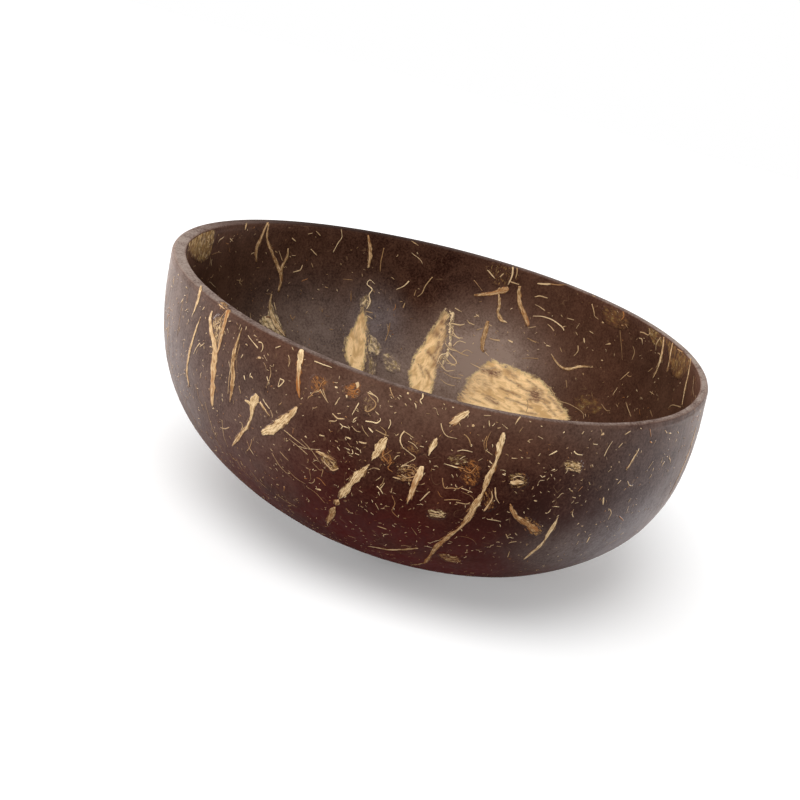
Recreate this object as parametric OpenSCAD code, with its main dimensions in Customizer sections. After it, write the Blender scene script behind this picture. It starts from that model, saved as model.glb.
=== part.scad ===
// Coconut shell bowl
// The larger part of a coconut's hard shell, cut level, hollowed, sanded flat underneath and polished.
// The shell is one piece of nut. Pale fibre strands are grown into grooves in its two faces,
// and pale patches of inner skin are left on the inside.
// Millimetres, +Z up. The origin is on the resting plane, straight under the middle of the rim.
// Azimuth is measured from +X towards +Y, and a height share is 0 at the resting plane and 1 at the rim.

/* [Bowl] */
// Width across the rim
rim_across = 140; // [110:1:170]
// Height from the resting plane to the cut rim
bowl_height = 60; // [45:0.5:75]
// Depth of the nut's pole that is sanded away to make the flat underneath
sanded_off = 2.4; // [1:0.1:4]
// Sideways lean of the nut's pole towards +X
lean_x = 3.5; // [-6:0.1:6]
// Sideways lean of the nut's pole towards +Y
lean_y = -1; // [-6:0.1:6]

/* [Three-sided swell of the nut] */
// Height of the three soft ridges above a round nut, at the rim
swell = 1.45; // [0:0.05:3]
// Direction of the first ridge, in degrees
swell_azimuth = 48; // [0:1:120]

/* [Wall] */
// Wall at the rim, halfway between its thick and thin sides
rim_wall = 2.8; // [2.2:0.1:5]
// How much the wall gains on its thick side and loses on its thin side
wall_drift = 0.85; // [0:0.05:1]
// Direction of the thick side, in degrees
wall_drift_azimuth = 149; // [0:1:360]
// Wall at the pole, before the flat is sanded
pole_wall = 5; // [4:0.1:8]
// Rounding of the rim's outer edge
lip_outer = 0.9; // [0.3:0.1:1]
// Rounding of the rim's inner edge
lip_inner = 0.4; // [0.2:0.1:0.8]

/* [Fibre strands and skin] */
// Width of a strand where its width share is 1
strand_width = 1; // [0.6:0.05:1.6]
// Depth of a strand's groove under the shell's face
strand_depth = 0.7; // [0.4:0.05:1]
// How far the outer strands stand out of the shell
outer_stand = 0.2; // [0.15:0.05:0.4]
// How far the inner strands and the skin stand out of the shell
inner_stand = 0.35; // [0.3:0.05:0.6]
// Depth of the inner skin under the shell's face
skin_depth = 0.6; // [0.4:0.05:1]

/* [Hidden] */

// Radius of the nut from its pole to the rim, as shares of the rim's radius, at equal steps of u.
// u is 0 at the pole and 1 at the rim, and the depth below the rim goes with 1 - u * u.
nut_radius_shares = [0, 0.17, 0.35, 0.552, 0.74, 0.88, 0.965, 1, 1];
// Where the curve would go past the rim
past_rim_share = 0.985;
// Share of the swell that is lost towards the pole
swell_fade_share = 0.3;
// Width of a groove's floor and of a strand's end, as shares of the strand's width
groove_floor_share = 0.6;
strand_end_share = 0.35;
// Size of the middle ring of points in a skin patch, as a share of the patch
patch_ring_share = 0.55;

// Points round the nut, rings on each face, and points on each rounded edge of the rim
around = 60;
outer_rings = 15;
inner_rings = 14;
lip_steps = 2;
// Points that a strand gets between two places of its route
route_steps = 3;

rim_r = rim_across / 2;
nut_depth = bowl_height + sanded_off;
// Depth and width of the block that stands for what the sander takes away
sanding_block = rim_across;
az_step = 360 / around;
last_share = len(nut_radius_shares) - 1;
// Half of the small stretch over which slopes are measured, as a share of u
slope_share = 0.002;
// Turn of a rounded edge, in degrees
quarter = 90;
// Most of the rim's wall that each rounded edge may take
outer_lip_share = 0.55;
inner_lip_share = 0.35;

// Outer strands: azimuth, height share and width share of each place along the route.
// The last nine run round the far side in the same habit.
outer_route_shares = [
  [[-145.5, 0.98, 0.5], [-145.5, 0.94, 0.6], [-146, 0.89, 0.7]],
  [[-138.8, 0.95, 0.6], [-137.2, 0.82, 1], [-135.7, 0.77, 0.9], [-135.5, 0.69, 1], [-136.5, 0.61, 0.5]],
  [[-134, 0.97, 1.1], [-134.6, 0.91, 0.7], [-135, 0.86, 0.5]],
  [[-142, 0.91, 0.5], [-145, 0.76, 0.6], [-146.5, 0.64, 0.7], [-146, 0.55, 0.4]],
  [[-130.5, 0.91, 0.4], [-129.8, 0.8, 0.7], [-130.5, 0.7, 0.5]],
  [[-115, 0.97, 1], [-114, 0.91, 0.9], [-113.5, 0.83, 0.6]],
  [[-113.8, 0.775, 1.3], [-117, 0.7, 2], [-120.5, 0.63, 0.8]],
  [[-122.5, 0.76, 0.8], [-124, 0.71, 1.1], [-124.2, 0.63, 0.9], [-128.5, 0.52, 0.6]],
  [[-95.5, 0.8, 0.9], [-97, 0.73, 1.4], [-99, 0.65, 1.1], [-101, 0.58, 1.5], [-102.5, 0.51, 1.1], [-105, 0.37, 0.8]],
  [[-88, 0.74, 0.9], [-88.5, 0.67, 1.6], [-89.8, 0.58, 0.9]],
  [[-76, 0.93, 0.8], [-76, 0.85, 1.1], [-76.8, 0.74, 1], [-77.5, 0.66, 1.2], [-79.5, 0.54, 1], [-83.3, 0.3, 0.7]],
  [[-83, 0.98, 0.9], [-84, 0.96, 1.6], [-85.2, 0.93, 0.9]],
  [[-86.8, 0.87, 0.8], [-87.5, 0.83, 0.8], [-88.2, 0.79, 0.6]],
  [[-61, 0.6, 0.7], [-62, 0.52, 1], [-64.2, 0.42, 0.7]],
  [[-71, 0.66, 0.9], [-70, 0.62, 1.4], [-67.5, 0.6, 1.2], [-64.5, 0.56, 0.7]],
  [[-96.5, 0.29, 0.7], [-91, 0.31, 1], [-86.5, 0.37, 0.7]],
  [[-47, 0.92, 0.6], [-48, 0.88, 0.8], [-49, 0.84, 0.6]],
  [[-71.2, 0.79, 1.2], [-71.5, 0.76, 1.6], [-71.9, 0.73, 1]],
  [[-110, 0.5, 0.7], [-107, 0.47, 1], [-104.6, 0.48, 0.6]],
  [[-20, 0.9, 0.6], [-21, 0.78, 0.9], [-24, 0.62, 0.7]],
  [[12, 0.95, 0.7], [10, 0.84, 1.1], [11, 0.7, 1], [8, 0.55, 0.6]],
  [[31, 0.8, 0.8], [33, 0.71, 1.5], [37, 0.66, 0.8]],
  [[58, 0.96, 0.6], [56, 0.82, 1], [58, 0.68, 1.1], [55, 0.52, 0.9], [50, 0.38, 0.6]],
  [[84, 0.87, 0.8], [86, 0.76, 1.4], [85, 0.66, 0.9]],
  [[108, 0.93, 0.6], [106, 0.8, 1], [109, 0.65, 1.1], [107, 0.5, 0.8]],
  [[131, 0.72, 0.8], [127, 0.62, 1.3], [124, 0.5, 0.7]],
  [[152, 0.94, 0.7], [154, 0.8, 1], [151, 0.66, 0.9], [153, 0.5, 0.5]],
  [[176, 0.86, 0.7], [173, 0.74, 1.2], [176, 0.6, 0.7]],
];

// Inner strands, in the same form
inner_route_shares = [
  [[143.4, 0.97, 0.8], [144, 0.87, 0.9], [145.5, 0.8, 0.6]],
  [[141.5, 0.88, 0.8], [137, 0.74, 1.2], [137, 0.64, 1.2], [137.6, 0.54, 0.8]],
  [[133.5, 0.89, 0.6], [134, 0.85, 0.8], [134.6, 0.79, 0.5]],
  [[114, 0.97, 0.7], [113, 0.91, 1], [113, 0.82, 0.6]],
  [[76, 0.97, 0.6], [76.3, 0.89, 0.8], [79, 0.85, 0.9], [83.5, 0.8, 0.5]],
  [[73, 0.93, 0.7], [71.5, 0.85, 0.9], [69, 0.75, 0.7]],
  [[77.6, 0.8, 0.6], [76.5, 0.76, 0.7], [74.8, 0.72, 0.5]],
  [[79, 0.67, 0.6], [78.5, 0.6, 1.1], [76, 0.56, 0.6]],
  [[28, 0.97, 0.7], [27.8, 0.89, 0.9], [28.5, 0.8, 0.7]],
  [[13.5, 0.97, 0.7], [13, 0.9, 1], [11, 0.79, 0.8]],
  [[24.2, 0.96, 0.6], [24, 0.91, 0.8], [24.5, 0.86, 0.6]],
  [[61, 0.64, 0.5], [56.5, 0.61, 0.8], [48.5, 0.67, 0.5]],
  [[143, 0.61, 0.8], [141.6, 0.52, 1.8], [140.5, 0.42, 0.8]],
  [[-30, 0.93, 0.6], [-33, 0.8, 1], [-31, 0.66, 0.8]],
  [[-72, 0.9, 0.7], [-70, 0.76, 1.1], [-73, 0.6, 0.7]],
  [[-104, 0.84, 0.8], [-108, 0.74, 1.2], [-107, 0.64, 0.7]],
  [[-149, 0.92, 0.6], [-152, 0.78, 1], [-150, 0.62, 0.7]],
];

// Outlines of the patches of inner skin: azimuth and height share of each corner, clockwise from the top.
// They fan out from the pole, and their lowest corners are out of sight behind the near rim.
skin_outline_shares = [
  [[113, 0.75], [110.8, 0.64], [109, 0.52], [110, 0.41], [110.5, 0.3], [110, 0.2], [114, 0.14],
   [119, 0.18], [118.5, 0.3], [117.5, 0.42], [116, 0.55], [114.5, 0.65]],
  [[88, 0.7], [87, 0.62], [87.5, 0.52], [87, 0.4], [86.5, 0.29], [86, 0.18], [91, 0.12], [97, 0.18],
   [97.5, 0.31], [96.5, 0.43], [93, 0.55], [89.5, 0.65]],
  [[69, 0.53], [63, 0.52], [56, 0.48], [50, 0.43], [46, 0.33], [42, 0.22], [46, 0.12], [62, 0.08],
   [76, 0.12], [80, 0.2], [81.5, 0.32], [79, 0.43], [74.5, 0.5]],
];

// Place between four numbers of a smooth curve, at f of the way from b to c
function between(a, b, c, d, f) =
  (2 * b + (c - a) * f + (2 * a - 5 * b + 4 * c - d) * f * f + (3 * b - a - 3 * c + d) * f * f * f) / 2;

// Radius share of the nut at u
function share_of(i) =
  i < 0 ? -nut_radius_shares[-i] : i > last_share ? past_rim_share : nut_radius_shares[i];
function radius_share(u) =
  let (s = u * last_share, i = min(floor(s), last_share - 1))
  between(share_of(i - 1), share_of(i), share_of(i + 1), share_of(i + 2), s - i);

// Slope of the radius and of the height with u, and the outward direction in the upright plane
function radius_slope(u) =
  rim_r * (radius_share(u + slope_share) - radius_share(u - slope_share)) / (2 * slope_share);
function height_slope(u) = 2 * nut_depth * u;
function outward(u) =
  let (r = radius_slope(u), h = height_slope(u)) [h, -r] / norm([h, r]);

// Height above the resting plane, and u at a height
function height_at(u) = bowl_height - nut_depth * (1 - u * u);
function u_at(height) = sqrt(max(1 - (bowl_height - height) / nut_depth, 0));

// Radius of the nut's face, with its three ridges
function nut_r(az, u) =
  let (s = radius_share(u))
  rim_r * s + swell * s * (1 - swell_fade_share * (1 - u * u)) * cos(3 * (az - swell_azimuth));

// Wall, thicker on one side of the rim and thickest at the pole
function wall_at(az, u) =
  let (w = rim_wall + wall_drift * cos(az - wall_drift_azimuth), f = (1 - u * u) * (1 - u * u))
  w + (pole_wall - w) * f;

// A place at a radius and height, carried sideways with the nut's lean
function lean_at(height) = [lean_x, lean_y] * (bowl_height - height) / bowl_height;
function placed(az, r, height) =
  let (c = lean_at(height)) [r * cos(az) + c[0], r * sin(az) + c[1], height];

// Places on the two faces, moved by the distance off along the outward direction
function outer_at(az, u, off = 0) =
  let (o = outward(u)) placed(az, nut_r(az, u) + off * o[0], height_at(u) + off * o[1]);
function inner_at(az, u, off = 0) = outer_at(az, u, off - wall_at(az, u));
function outward_at(az, u) = let (o = outward(u)) [o[0] * cos(az), o[0] * sin(az), o[1]];

// A place on either face by height share, with side 1 outside and -1 inside; off points away from the shell
function face_at(side, az, share, off) =
  let (u = u_at(share * bowl_height))
  side > 0 ? outer_at(az, u, off) : inner_at(az, u, -off);

// The rim's rounded edges, which stay within its thinnest wall
outer_lip_r = min(lip_outer, outer_lip_share * (rim_wall - wall_drift));
inner_lip_r = min(lip_inner, inner_lip_share * (rim_wall - wall_drift));
outer_lip_u = u_at(bowl_height - outer_lip_r);
inner_lip_u = u_at(bowl_height - inner_lip_r);
function rim_outer_r(az) = nut_r(az, 1);
function rim_inner_r(az) = nut_r(az, 1) - wall_at(az, 1);

function shell_points() = concat(
  [outer_at(0, 0)],
  [for (i = [1:outer_rings], k = [0:around - 1]) outer_at(k * az_step, outer_lip_u * i / outer_rings)],
  [for (i = [1:lip_steps], k = [0:around - 1])
    let (a = i * quarter / lip_steps, az = k * az_step)
    placed(az, rim_outer_r(az) - outer_lip_r * (1 - cos(a)), bowl_height - outer_lip_r * (1 - sin(a)))],
  [for (i = [0:lip_steps], k = [0:around - 1])
    let (a = quarter - i * quarter / lip_steps, az = k * az_step)
    placed(az, rim_inner_r(az) + inner_lip_r * (1 - cos(a)), bowl_height - inner_lip_r * (1 - sin(a)))],
  [for (i = [1:inner_rings - 1], k = [0:around - 1])
    inner_at(k * az_step, inner_lip_u * (1 - i / inner_rings))],
  [inner_at(0, 0)]
);

shell_rings = outer_rings + lip_steps + lip_steps + 1 + inner_rings - 1;
function at(row, k) = 1 + row * around + k % around;
function shell_faces() = concat(
  [for (k = [0:around - 1]) [0, at(0, k), at(0, k + 1)]],
  [for (row = [0:shell_rings - 2], k = [0:around - 1], half = [0, 1])
    half == 0 ? [at(row, k), at(row + 1, k), at(row + 1, k + 1)]
              : [at(row, k), at(row + 1, k + 1), at(row, k + 1)]],
  [for (k = [0:around - 1])
    [at(shell_rings - 1, k), 1 + shell_rings * around, at(shell_rings - 1, k + 1)]]
);

// A strand: a strip with slanted sides, swept along its route on one face and sunk into a groove
function route_place(route, s) =
  let (n = len(route) - 1, i = min(floor(s), n - 1), f = s - i,
       b = route[i], c = route[i + 1],
       a = i > 0 ? route[i - 1] : 2 * b - c,
       d = i + 2 <= n ? route[i + 2] : 2 * c - b)
  between(a, b, c, d, f);

function strand_ring(side, route, s, stand) =
  let (n = len(route) - 1, p = route_place(route, s),
       end = s == 0 || s == n ? strand_end_share : 1,
       u = u_at(p[1] * bowl_height),
       before = route_place(route, max(s - slope_share * n, 0)),
       after = route_place(route, min(s + slope_share * n, n)),
       way = face_at(side, after[0], after[1], 0) - face_at(side, before[0], before[1], 0),
       away = side * outward_at(p[0], u),
       across = cross(away, way),
       half = across / norm(across) * strand_width * p[2] * end / 2,
       top = face_at(side, p[0], p[1], stand),
       low = face_at(side, p[0], p[1], -strand_depth))
  [top - half, top + half, low + half * groove_floor_share, low - half * groove_floor_share];

module strand(side, route, stand) {
  n = (len(route) - 1) * route_steps;
  points = [for (j = [0:n]) each strand_ring(side, route, j / route_steps, stand)];
  faces = concat(
    [[0, 2, 1], [0, 3, 2]],
    [for (j = [0:n - 1], k = [0:3], half = [0, 1])
      let (a = 4 * j + k, b = 4 * j + (k + 1) % 4)
      half == 0 ? [a, b + 4, a + 4] : [a, b, b + 4]],
    [[4 * n, 4 * n + 1, 4 * n + 2], [4 * n, 4 * n + 2, 4 * n + 3]]
  );
  polyhedron(points, faces);
}

// A skin patch: a thin plate on the inner face, from its outline in to its middle
module patch(outline) {
  n = len(outline);
  middle = [for (c = [0, 1]) [for (p = outline) p[c]] * [for (p = outline) 1 / n]];
  places = concat([middle], [for (p = outline) middle + (p - middle) * patch_ring_share], outline);
  points = concat(
    [for (p = places) face_at(-1, p[0], p[1], inner_stand)],
    [for (p = places) face_at(-1, p[0], p[1], -skin_depth)]
  );
  m = len(places);
  upper = concat(
    [for (k = [0:n - 1]) [0, 1 + k, 1 + (k + 1) % n]],
    [for (k = [0:n - 1], half = [0, 1])
      let (a = 1 + k, b = 1 + (k + 1) % n)
      half == 0 ? [a, a + n, b + n] : [a, b + n, b]]
  );
  faces = concat(
    upper,
    [for (f = upper) [f[2] + m, f[1] + m, f[0] + m]],
    [for (k = [0:n - 1], half = [0, 1])
      let (a = 1 + n + k, b = 1 + n + (k + 1) % n)
      half == 0 ? [a, a + m, b + m] : [a, b + m, b]]
  );
  polyhedron(points, faces);
}

module outer_strand_solids() {
  for (route = outer_route_shares) strand(1, route, outer_stand);
}

module inner_strand_solids() {
  for (route = inner_route_shares) strand(-1, route, inner_stand);
}

module skin_solids() {
  for (outline = skin_outline_shares) patch(outline);
}

module shell() {
  color("#3d2721")
  difference() {
    polyhedron(shell_points(), shell_faces());
    translate([0, 0, -sanding_block]) cylinder(h = sanding_block, d = sanding_block);
    outer_strand_solids();
    inner_strand_solids();
    skin_solids();
  }
}

module outer_strands() {
  color("#b98a52") outer_strand_solids();
}

module inner_strands() {
  color("#a5713f") inner_strand_solids();
}

module inner_skin() {
  color("#d2ad7a") skin_solids();
}

shell();
outer_strands();
inner_strands();
inner_skin();
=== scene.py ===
import math
import random
import bpy
import bmesh
from mathutils import Matrix, Vector, noise
from mathutils.bvhtree import BVHTree


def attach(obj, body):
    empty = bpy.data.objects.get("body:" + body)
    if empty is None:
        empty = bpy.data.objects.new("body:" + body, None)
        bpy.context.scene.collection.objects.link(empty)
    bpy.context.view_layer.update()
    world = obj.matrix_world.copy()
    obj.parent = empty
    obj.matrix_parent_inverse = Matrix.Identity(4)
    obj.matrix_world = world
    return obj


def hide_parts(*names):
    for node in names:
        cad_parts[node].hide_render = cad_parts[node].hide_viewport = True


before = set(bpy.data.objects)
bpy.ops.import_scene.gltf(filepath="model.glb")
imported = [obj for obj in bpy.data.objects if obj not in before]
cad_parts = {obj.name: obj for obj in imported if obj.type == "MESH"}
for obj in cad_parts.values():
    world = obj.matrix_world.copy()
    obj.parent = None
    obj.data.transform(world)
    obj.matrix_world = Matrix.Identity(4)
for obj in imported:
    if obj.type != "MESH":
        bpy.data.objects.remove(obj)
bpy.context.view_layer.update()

# A bowl cut from half a coconut: a polished dark shell with pale fibre strands and flecks in its two
# faces, patches of pale inner skin, a sawn rim and a flat sanded underneath.
# Shapes are worked out in millimetres, and each finished mesh is brought to metres at the end.

MM = 0.001

# The nut, with the middle of its underneath LEAN off the middle of its rim, swollen three ways round
RIM_R = 70.0
BOWL_HEIGHT = 60.0
SANDED_OFF = 2.4
NUT_DEPTH = BOWL_HEIGHT + SANDED_OFF
LEAN = (3.5, -1.0)
SWELL = 1.45
SWELL_AZIMUTH = math.radians(48)
SWELL_FADE = 0.3
RIM_WALL = 2.8
WALL_DRIFT = 0.85
WALL_DRIFT_AZIMUTH = math.radians(149)
POLE_WALL = 5.0
OUTER_LIP = 0.9
INNER_LIP = 0.4
# Radius as a share of the rim's, at even steps from the middle of the underneath to the rim, and once past it
NUT_RADIUS = [0, 0.17, 0.35, 0.552, 0.74, 0.88, 0.965, 1, 1]
PAST_RIM = 0.985

# Sanding leaves the faces gently uneven: height and breadth of the swells. They only sink a face, and fade
# out over the lowest part
WAVER_BROAD = (0.14, 24.0)
WAVER_FINE = (0.05, 9.0)
WAVER_SINK = 0.9
WAVER_FADE = 8.0
INNER_WAVER = Vector((300, 0, 60))

# The mesh: steps round, and rows up each part of the section
AROUND = 240
FLAT_SHARES = (0.0, 0.2, 0.4, 0.6, 0.8, 0.94, 0.985, 1.0)
FIRST_ROW = 0.004
OUTER_ROWS = 90
OUTER_LIP_ROWS = 6
CUT_ROWS = 5
INNER_LIP_ROWS = 5
INNER_ROWS = 84


# ---------------------------------------------------------------- the nut's form
def between(a, b, c, d, f):
    """Point of a smooth curve through a, b, c and d, at f of the way from b to c."""
    return (2 * b + (c - a) * f + (2 * a - 5 * b + 4 * c - d) * f * f
            + (3 * b - a - 3 * c + d) * f * f * f) / 2


def nut_share(i):
    if i < 0:
        return -NUT_RADIUS[-i]
    return PAST_RIM if i >= len(NUT_RADIUS) else NUT_RADIUS[i]


def radius_share(u):
    s = u * (len(NUT_RADIUS) - 1)
    i = min(math.floor(s), len(NUT_RADIUS) - 2)
    return between(nut_share(i - 1), nut_share(i), nut_share(i + 1), nut_share(i + 2), s - i)


def outward(u):
    """The section's outward direction, as (r, z)."""
    step = 0.002
    r = RIM_R * (radius_share(u + step) - radius_share(u - step)) / (2 * step)
    h = 2 * NUT_DEPTH * u
    size = math.hypot(r, h)
    return h / size, -r / size


def height_at(u):
    return BOWL_HEIGHT - NUT_DEPTH * (1 - u * u)


def u_at(height):
    return math.sqrt(max(1 - (BOWL_HEIGHT - height) / NUT_DEPTH, 0))


def nut_radius(az, u):
    s = radius_share(u)
    fade = 1 - SWELL_FADE * (1 - u * u)
    return RIM_R * s + SWELL * s * fade * math.cos(3 * (az - SWELL_AZIMUTH))


def wall_at(az, u):
    w = RIM_WALL + WALL_DRIFT * math.cos(az - WALL_DRIFT_AZIMUTH)
    return w + (POLE_WALL - w) * (1 - u * u) ** 2


def placed(az, r, height):
    k = (BOWL_HEIGHT - height) / BOWL_HEIGHT
    return Vector((r * math.cos(az) + LEAN[0] * k, r * math.sin(az) + LEAN[1] * k, height))


def waver(p):
    """Unevenness of a sanded face at p."""
    fade = min(max(p.z / WAVER_FADE, 0.0), 1.0)
    return fade * (WAVER_BROAD[0] * (noise.noise(p / WAVER_BROAD[1]) - WAVER_SINK)
                   + WAVER_FINE[0] * (noise.noise(p / WAVER_FINE[1]) - WAVER_SINK))


def outer_rz(az, u):
    o = outward(u)
    off = waver(placed(az, nut_radius(az, u), height_at(u)))
    return nut_radius(az, u) + off * o[0], height_at(u) + off * o[1]


def inner_rz(az, u):
    o = outward(u)
    off = waver(placed(az, nut_radius(az, u), height_at(u)) + INNER_WAVER) - wall_at(az, u)
    return max(nut_radius(az, u) + off * o[0], 0.0), height_at(u) + off * o[1]


# ---------------------------------------------------------------- the shell
def shell_rows():
    """The section of the wall from the middle of the underneath, over the rim, to the middle inside."""
    u_flat = u_at(0.0)
    u_out = u_at(BOWL_HEIGHT - OUTER_LIP)
    u_in = u_at(BOWL_HEIGHT - INNER_LIP)
    rows = [("flat", s) for s in FLAT_SHARES]
    rows += [("outer", u_flat + FIRST_ROW)]
    rows += [("outer", u_flat + (u_out - u_flat) * i / OUTER_ROWS) for i in range(2, OUTER_ROWS + 1)]
    rows += [("lip_out", i / OUTER_LIP_ROWS) for i in range(1, OUTER_LIP_ROWS + 1)]
    rows += [("cut", i / CUT_ROWS) for i in range(1, CUT_ROWS)]
    rows += [("lip_in", i / INNER_LIP_ROWS) for i in range(INNER_LIP_ROWS + 1)]
    rows += [("inner", u_in * (1 - i / INNER_ROWS)) for i in range(1, INNER_ROWS + 1)]
    return rows


def row_rz(row, az):
    """Radius and height of a row of the section at an azimuth."""
    kind, s = row
    if kind == "flat":
        return s * nut_radius(az, u_at(0.0)), 0.0
    if kind == "outer":
        return outer_rz(az, s)
    if kind == "inner":
        return inner_rz(az, s)
    r_out = outer_rz(az, 1.0)[0]
    r_in = inner_rz(az, 1.0)[0]
    if kind == "lip_out":
        a = s * math.pi / 2
        return r_out - OUTER_LIP * (1 - math.cos(a)), BOWL_HEIGHT - OUTER_LIP * (1 - math.sin(a))
    if kind == "lip_in":
        a = (1 - s) * math.pi / 2
        return r_in + INNER_LIP * (1 - math.cos(a)), BOWL_HEIGHT - INNER_LIP * (1 - math.sin(a))
    a, b = r_out - OUTER_LIP, r_in + INNER_LIP
    return a + (b - a) * s, BOWL_HEIGHT


def degrees_off(az_deg, centre):
    return (az_deg - centre + 180) % 360 - 180


def bump_at(az_deg, share, centre, share_centre, spread, share_spread):
    """A smooth hill of height 1 on a face, at an azimuth and a height share."""
    return math.exp(-(degrees_off(az_deg, centre) / spread) ** 2 - ((share - share_centre) / share_spread) ** 2)


# How light and red the shell is, how much painted sheen lies on it, and how bluish that sheen is. Light and red are
# broad areas of the nut's colour, and some light hills are painted light and shade; the sheen is a painted reflection
# of the surroundings in the polish. Each tone has a level for the whole face, and hills on it: height, azimuth,
# height share, breadth in degrees and in height share
TONES = ("light", "red", "painted_sheen", "painted_sheen_blue")
OUTER_AREAS = (
    # Among the light hills, the one at -108 degrees and 0.12 height share is painted shade that darkens the low front
    # edge.
    (0.13, [(0.44, -93, 0.98, 58, 0.18), (0.20, 90, 0.98, 90, 0.18), (0.06, -88, 0.92, 14, 0.1),
            (0.24, -118, 0.62, 18, 0.22), (0.16, -150, 0.6, 30, 0.4), (-0.10, -62, 0.55, 22, 0.25),
            (-0.14, -41, 0.92, 15, 0.15), (-0.09, -122, 0.78, 12, 0.16), (-0.07, -110, 0.58, 10, 0.16),
            (-0.08, -108, 0.3, 14, 0.14), (-0.1, -108, 0.12, 25, 0.15), (-0.06, -136, 0.92, 12, 0.12)]),
    (0.1, [(1.3, -98, 0.06, 58, 0.48), (0.35, 70, 0.25, 60, 0.3), (0.15, -95, 0.45, 30, 0.3)]),
    # Painted sheen: reflections of the surroundings in the polish, painted on as colour.
    (0, [(0.55, -166, 0.6, 26, 0.42), (0.45, -174, 0.96, 22, 0.16), (0.22, -124, 0.66, 12, 0.22),
         (0.28, -152, 0.62, 13, 0.2), (0.14, -99, 0.93, 14, 0.11), (0.08, -80, 0.98, 8, 0.06),
         (0.38, -14, 0.65, 20, 0.4), (0.18, -4, 0.96, 20, 0.18), (0.22, -40, 0.60, 15, 0.3),
         (0.36, -57, 0.45, 9, 0.12), (0.12, -61, 0.98, 10, 0.05), (0.1, -48, 0.88, 16, 0.16),
         (0.34, -34, 0.47, 13, 0.2), (0.2, -22, 0.5, 14, 0.2), (0.42, -28, 0.40, 15, 0.18),
         (0.32, -42, 0.46, 12, 0.18)]),
    # How bluish the painted sheen is.
    (0, [(0.9, -40, 0.55, 24, 0.6), (0.6, -156, 0.6, 28, 0.4)]),
)
INNER_AREAS = (
    # The light hill at 74 degrees lies where the painted sheen is and lightens the wall there too: painted light.
    (0.28, [(0.12, 150, 0.8, 12, 0.3), (-0.10, 92, 0.85, 12, 0.25), (0.16, 74, 0.5, 18, 0.3),
            (0.15, 5, 0.9, 22, 0.3), (0.25, -100, 0.6, 50, 0.4), (0.22, 168, 0.76, 18, 0.25),
            (-0.06, 24, 0.92, 14, 0.12), (0.07, 18, 0.6, 22, 0.25), (0.08, 36, 0.45, 12, 0.15)]),
    (0.05, []),
    # Painted sheen inside the bowl, reflections of the surroundings painted on as colour.
    (0, [(1.35, 78, 0.50, 14, 0.20), (0.42, 108, 0.62, 7, 0.12), (0.58, 128, 0.48, 20, 0.2),
         (0.5, 100, 0.38, 12, 0.14), (0.4, -70, 0.4, 40, 0.25), (-0.12, 98, 0.72, 7, 0.12)]),
    # How bluish the painted sheen inside is.
    (0, [(0.7, 107, 0.6, 8, 0.16), (0.2, 124, 0.55, 14, 0.3)]),
)
# Inside, one side of the bowl is paler and redder up to a soft edge: the side's middle and half breadth in
# degrees, at a height share; how the edge slants and how soft it is; where it is lost below; and what it adds
PALE_SIDE = {"azimuth": 28, "half": 58, "share": 0.95, "slant": 24, "softness": 1.6, "lost": 0.35}
PALE_SIDE_LIGHT = 0.17
PALE_SIDE_RED = 0.06


def face_tone(inner, az_deg, share):
    """The four tones of a face at an azimuth and a height share."""
    areas = INNER_AREAS if inner else OUTER_AREAS
    light, red, painted_sheen, painted_sheen_blue = (level + sum(height * bump_at(az_deg, share, *where) for height, *where in hills)
                              for level, hills in areas)
    if inner:
        edge = PALE_SIDE["half"] + PALE_SIDE["slant"] * (PALE_SIDE["share"] - share)
        past = abs(degrees_off(az_deg, PALE_SIDE["azimuth"])) - edge
        fade = min(share / PALE_SIDE["lost"], 1)
        pale = 0.5 + (1 / (1 + math.exp(past / PALE_SIDE["softness"])) - 0.5) * fade
        light += PALE_SIDE_LIGHT * pale
        red += PALE_SIDE_RED * pale
    return light, red, max(painted_sheen, 0), painted_sheen_blue


# The sawn rim is palest at its two ends and darkest at the far left: height, azimuth and breadth in degrees
RIM_LEVEL = 0.54
RIM_ARCS = [(0.33, 5, 38), (0.42, 188, 26), (-0.58, 118, 44), (-0.08, 262, 26)]


def rim_tone(az_deg):
    """How pale the sawn rim is."""
    arcs = sum(height * math.exp(-(degrees_off(az_deg, centre) / spread) ** 2) for height, centre, spread in RIM_ARCS)
    return max(RIM_LEVEL + arcs, 0.0)


# A point with more of the sawn colour than this has the rim's tone, or underneath the flat's own
CUT_SHOWS = 0.3
FLAT_TONE = 0.4


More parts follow.
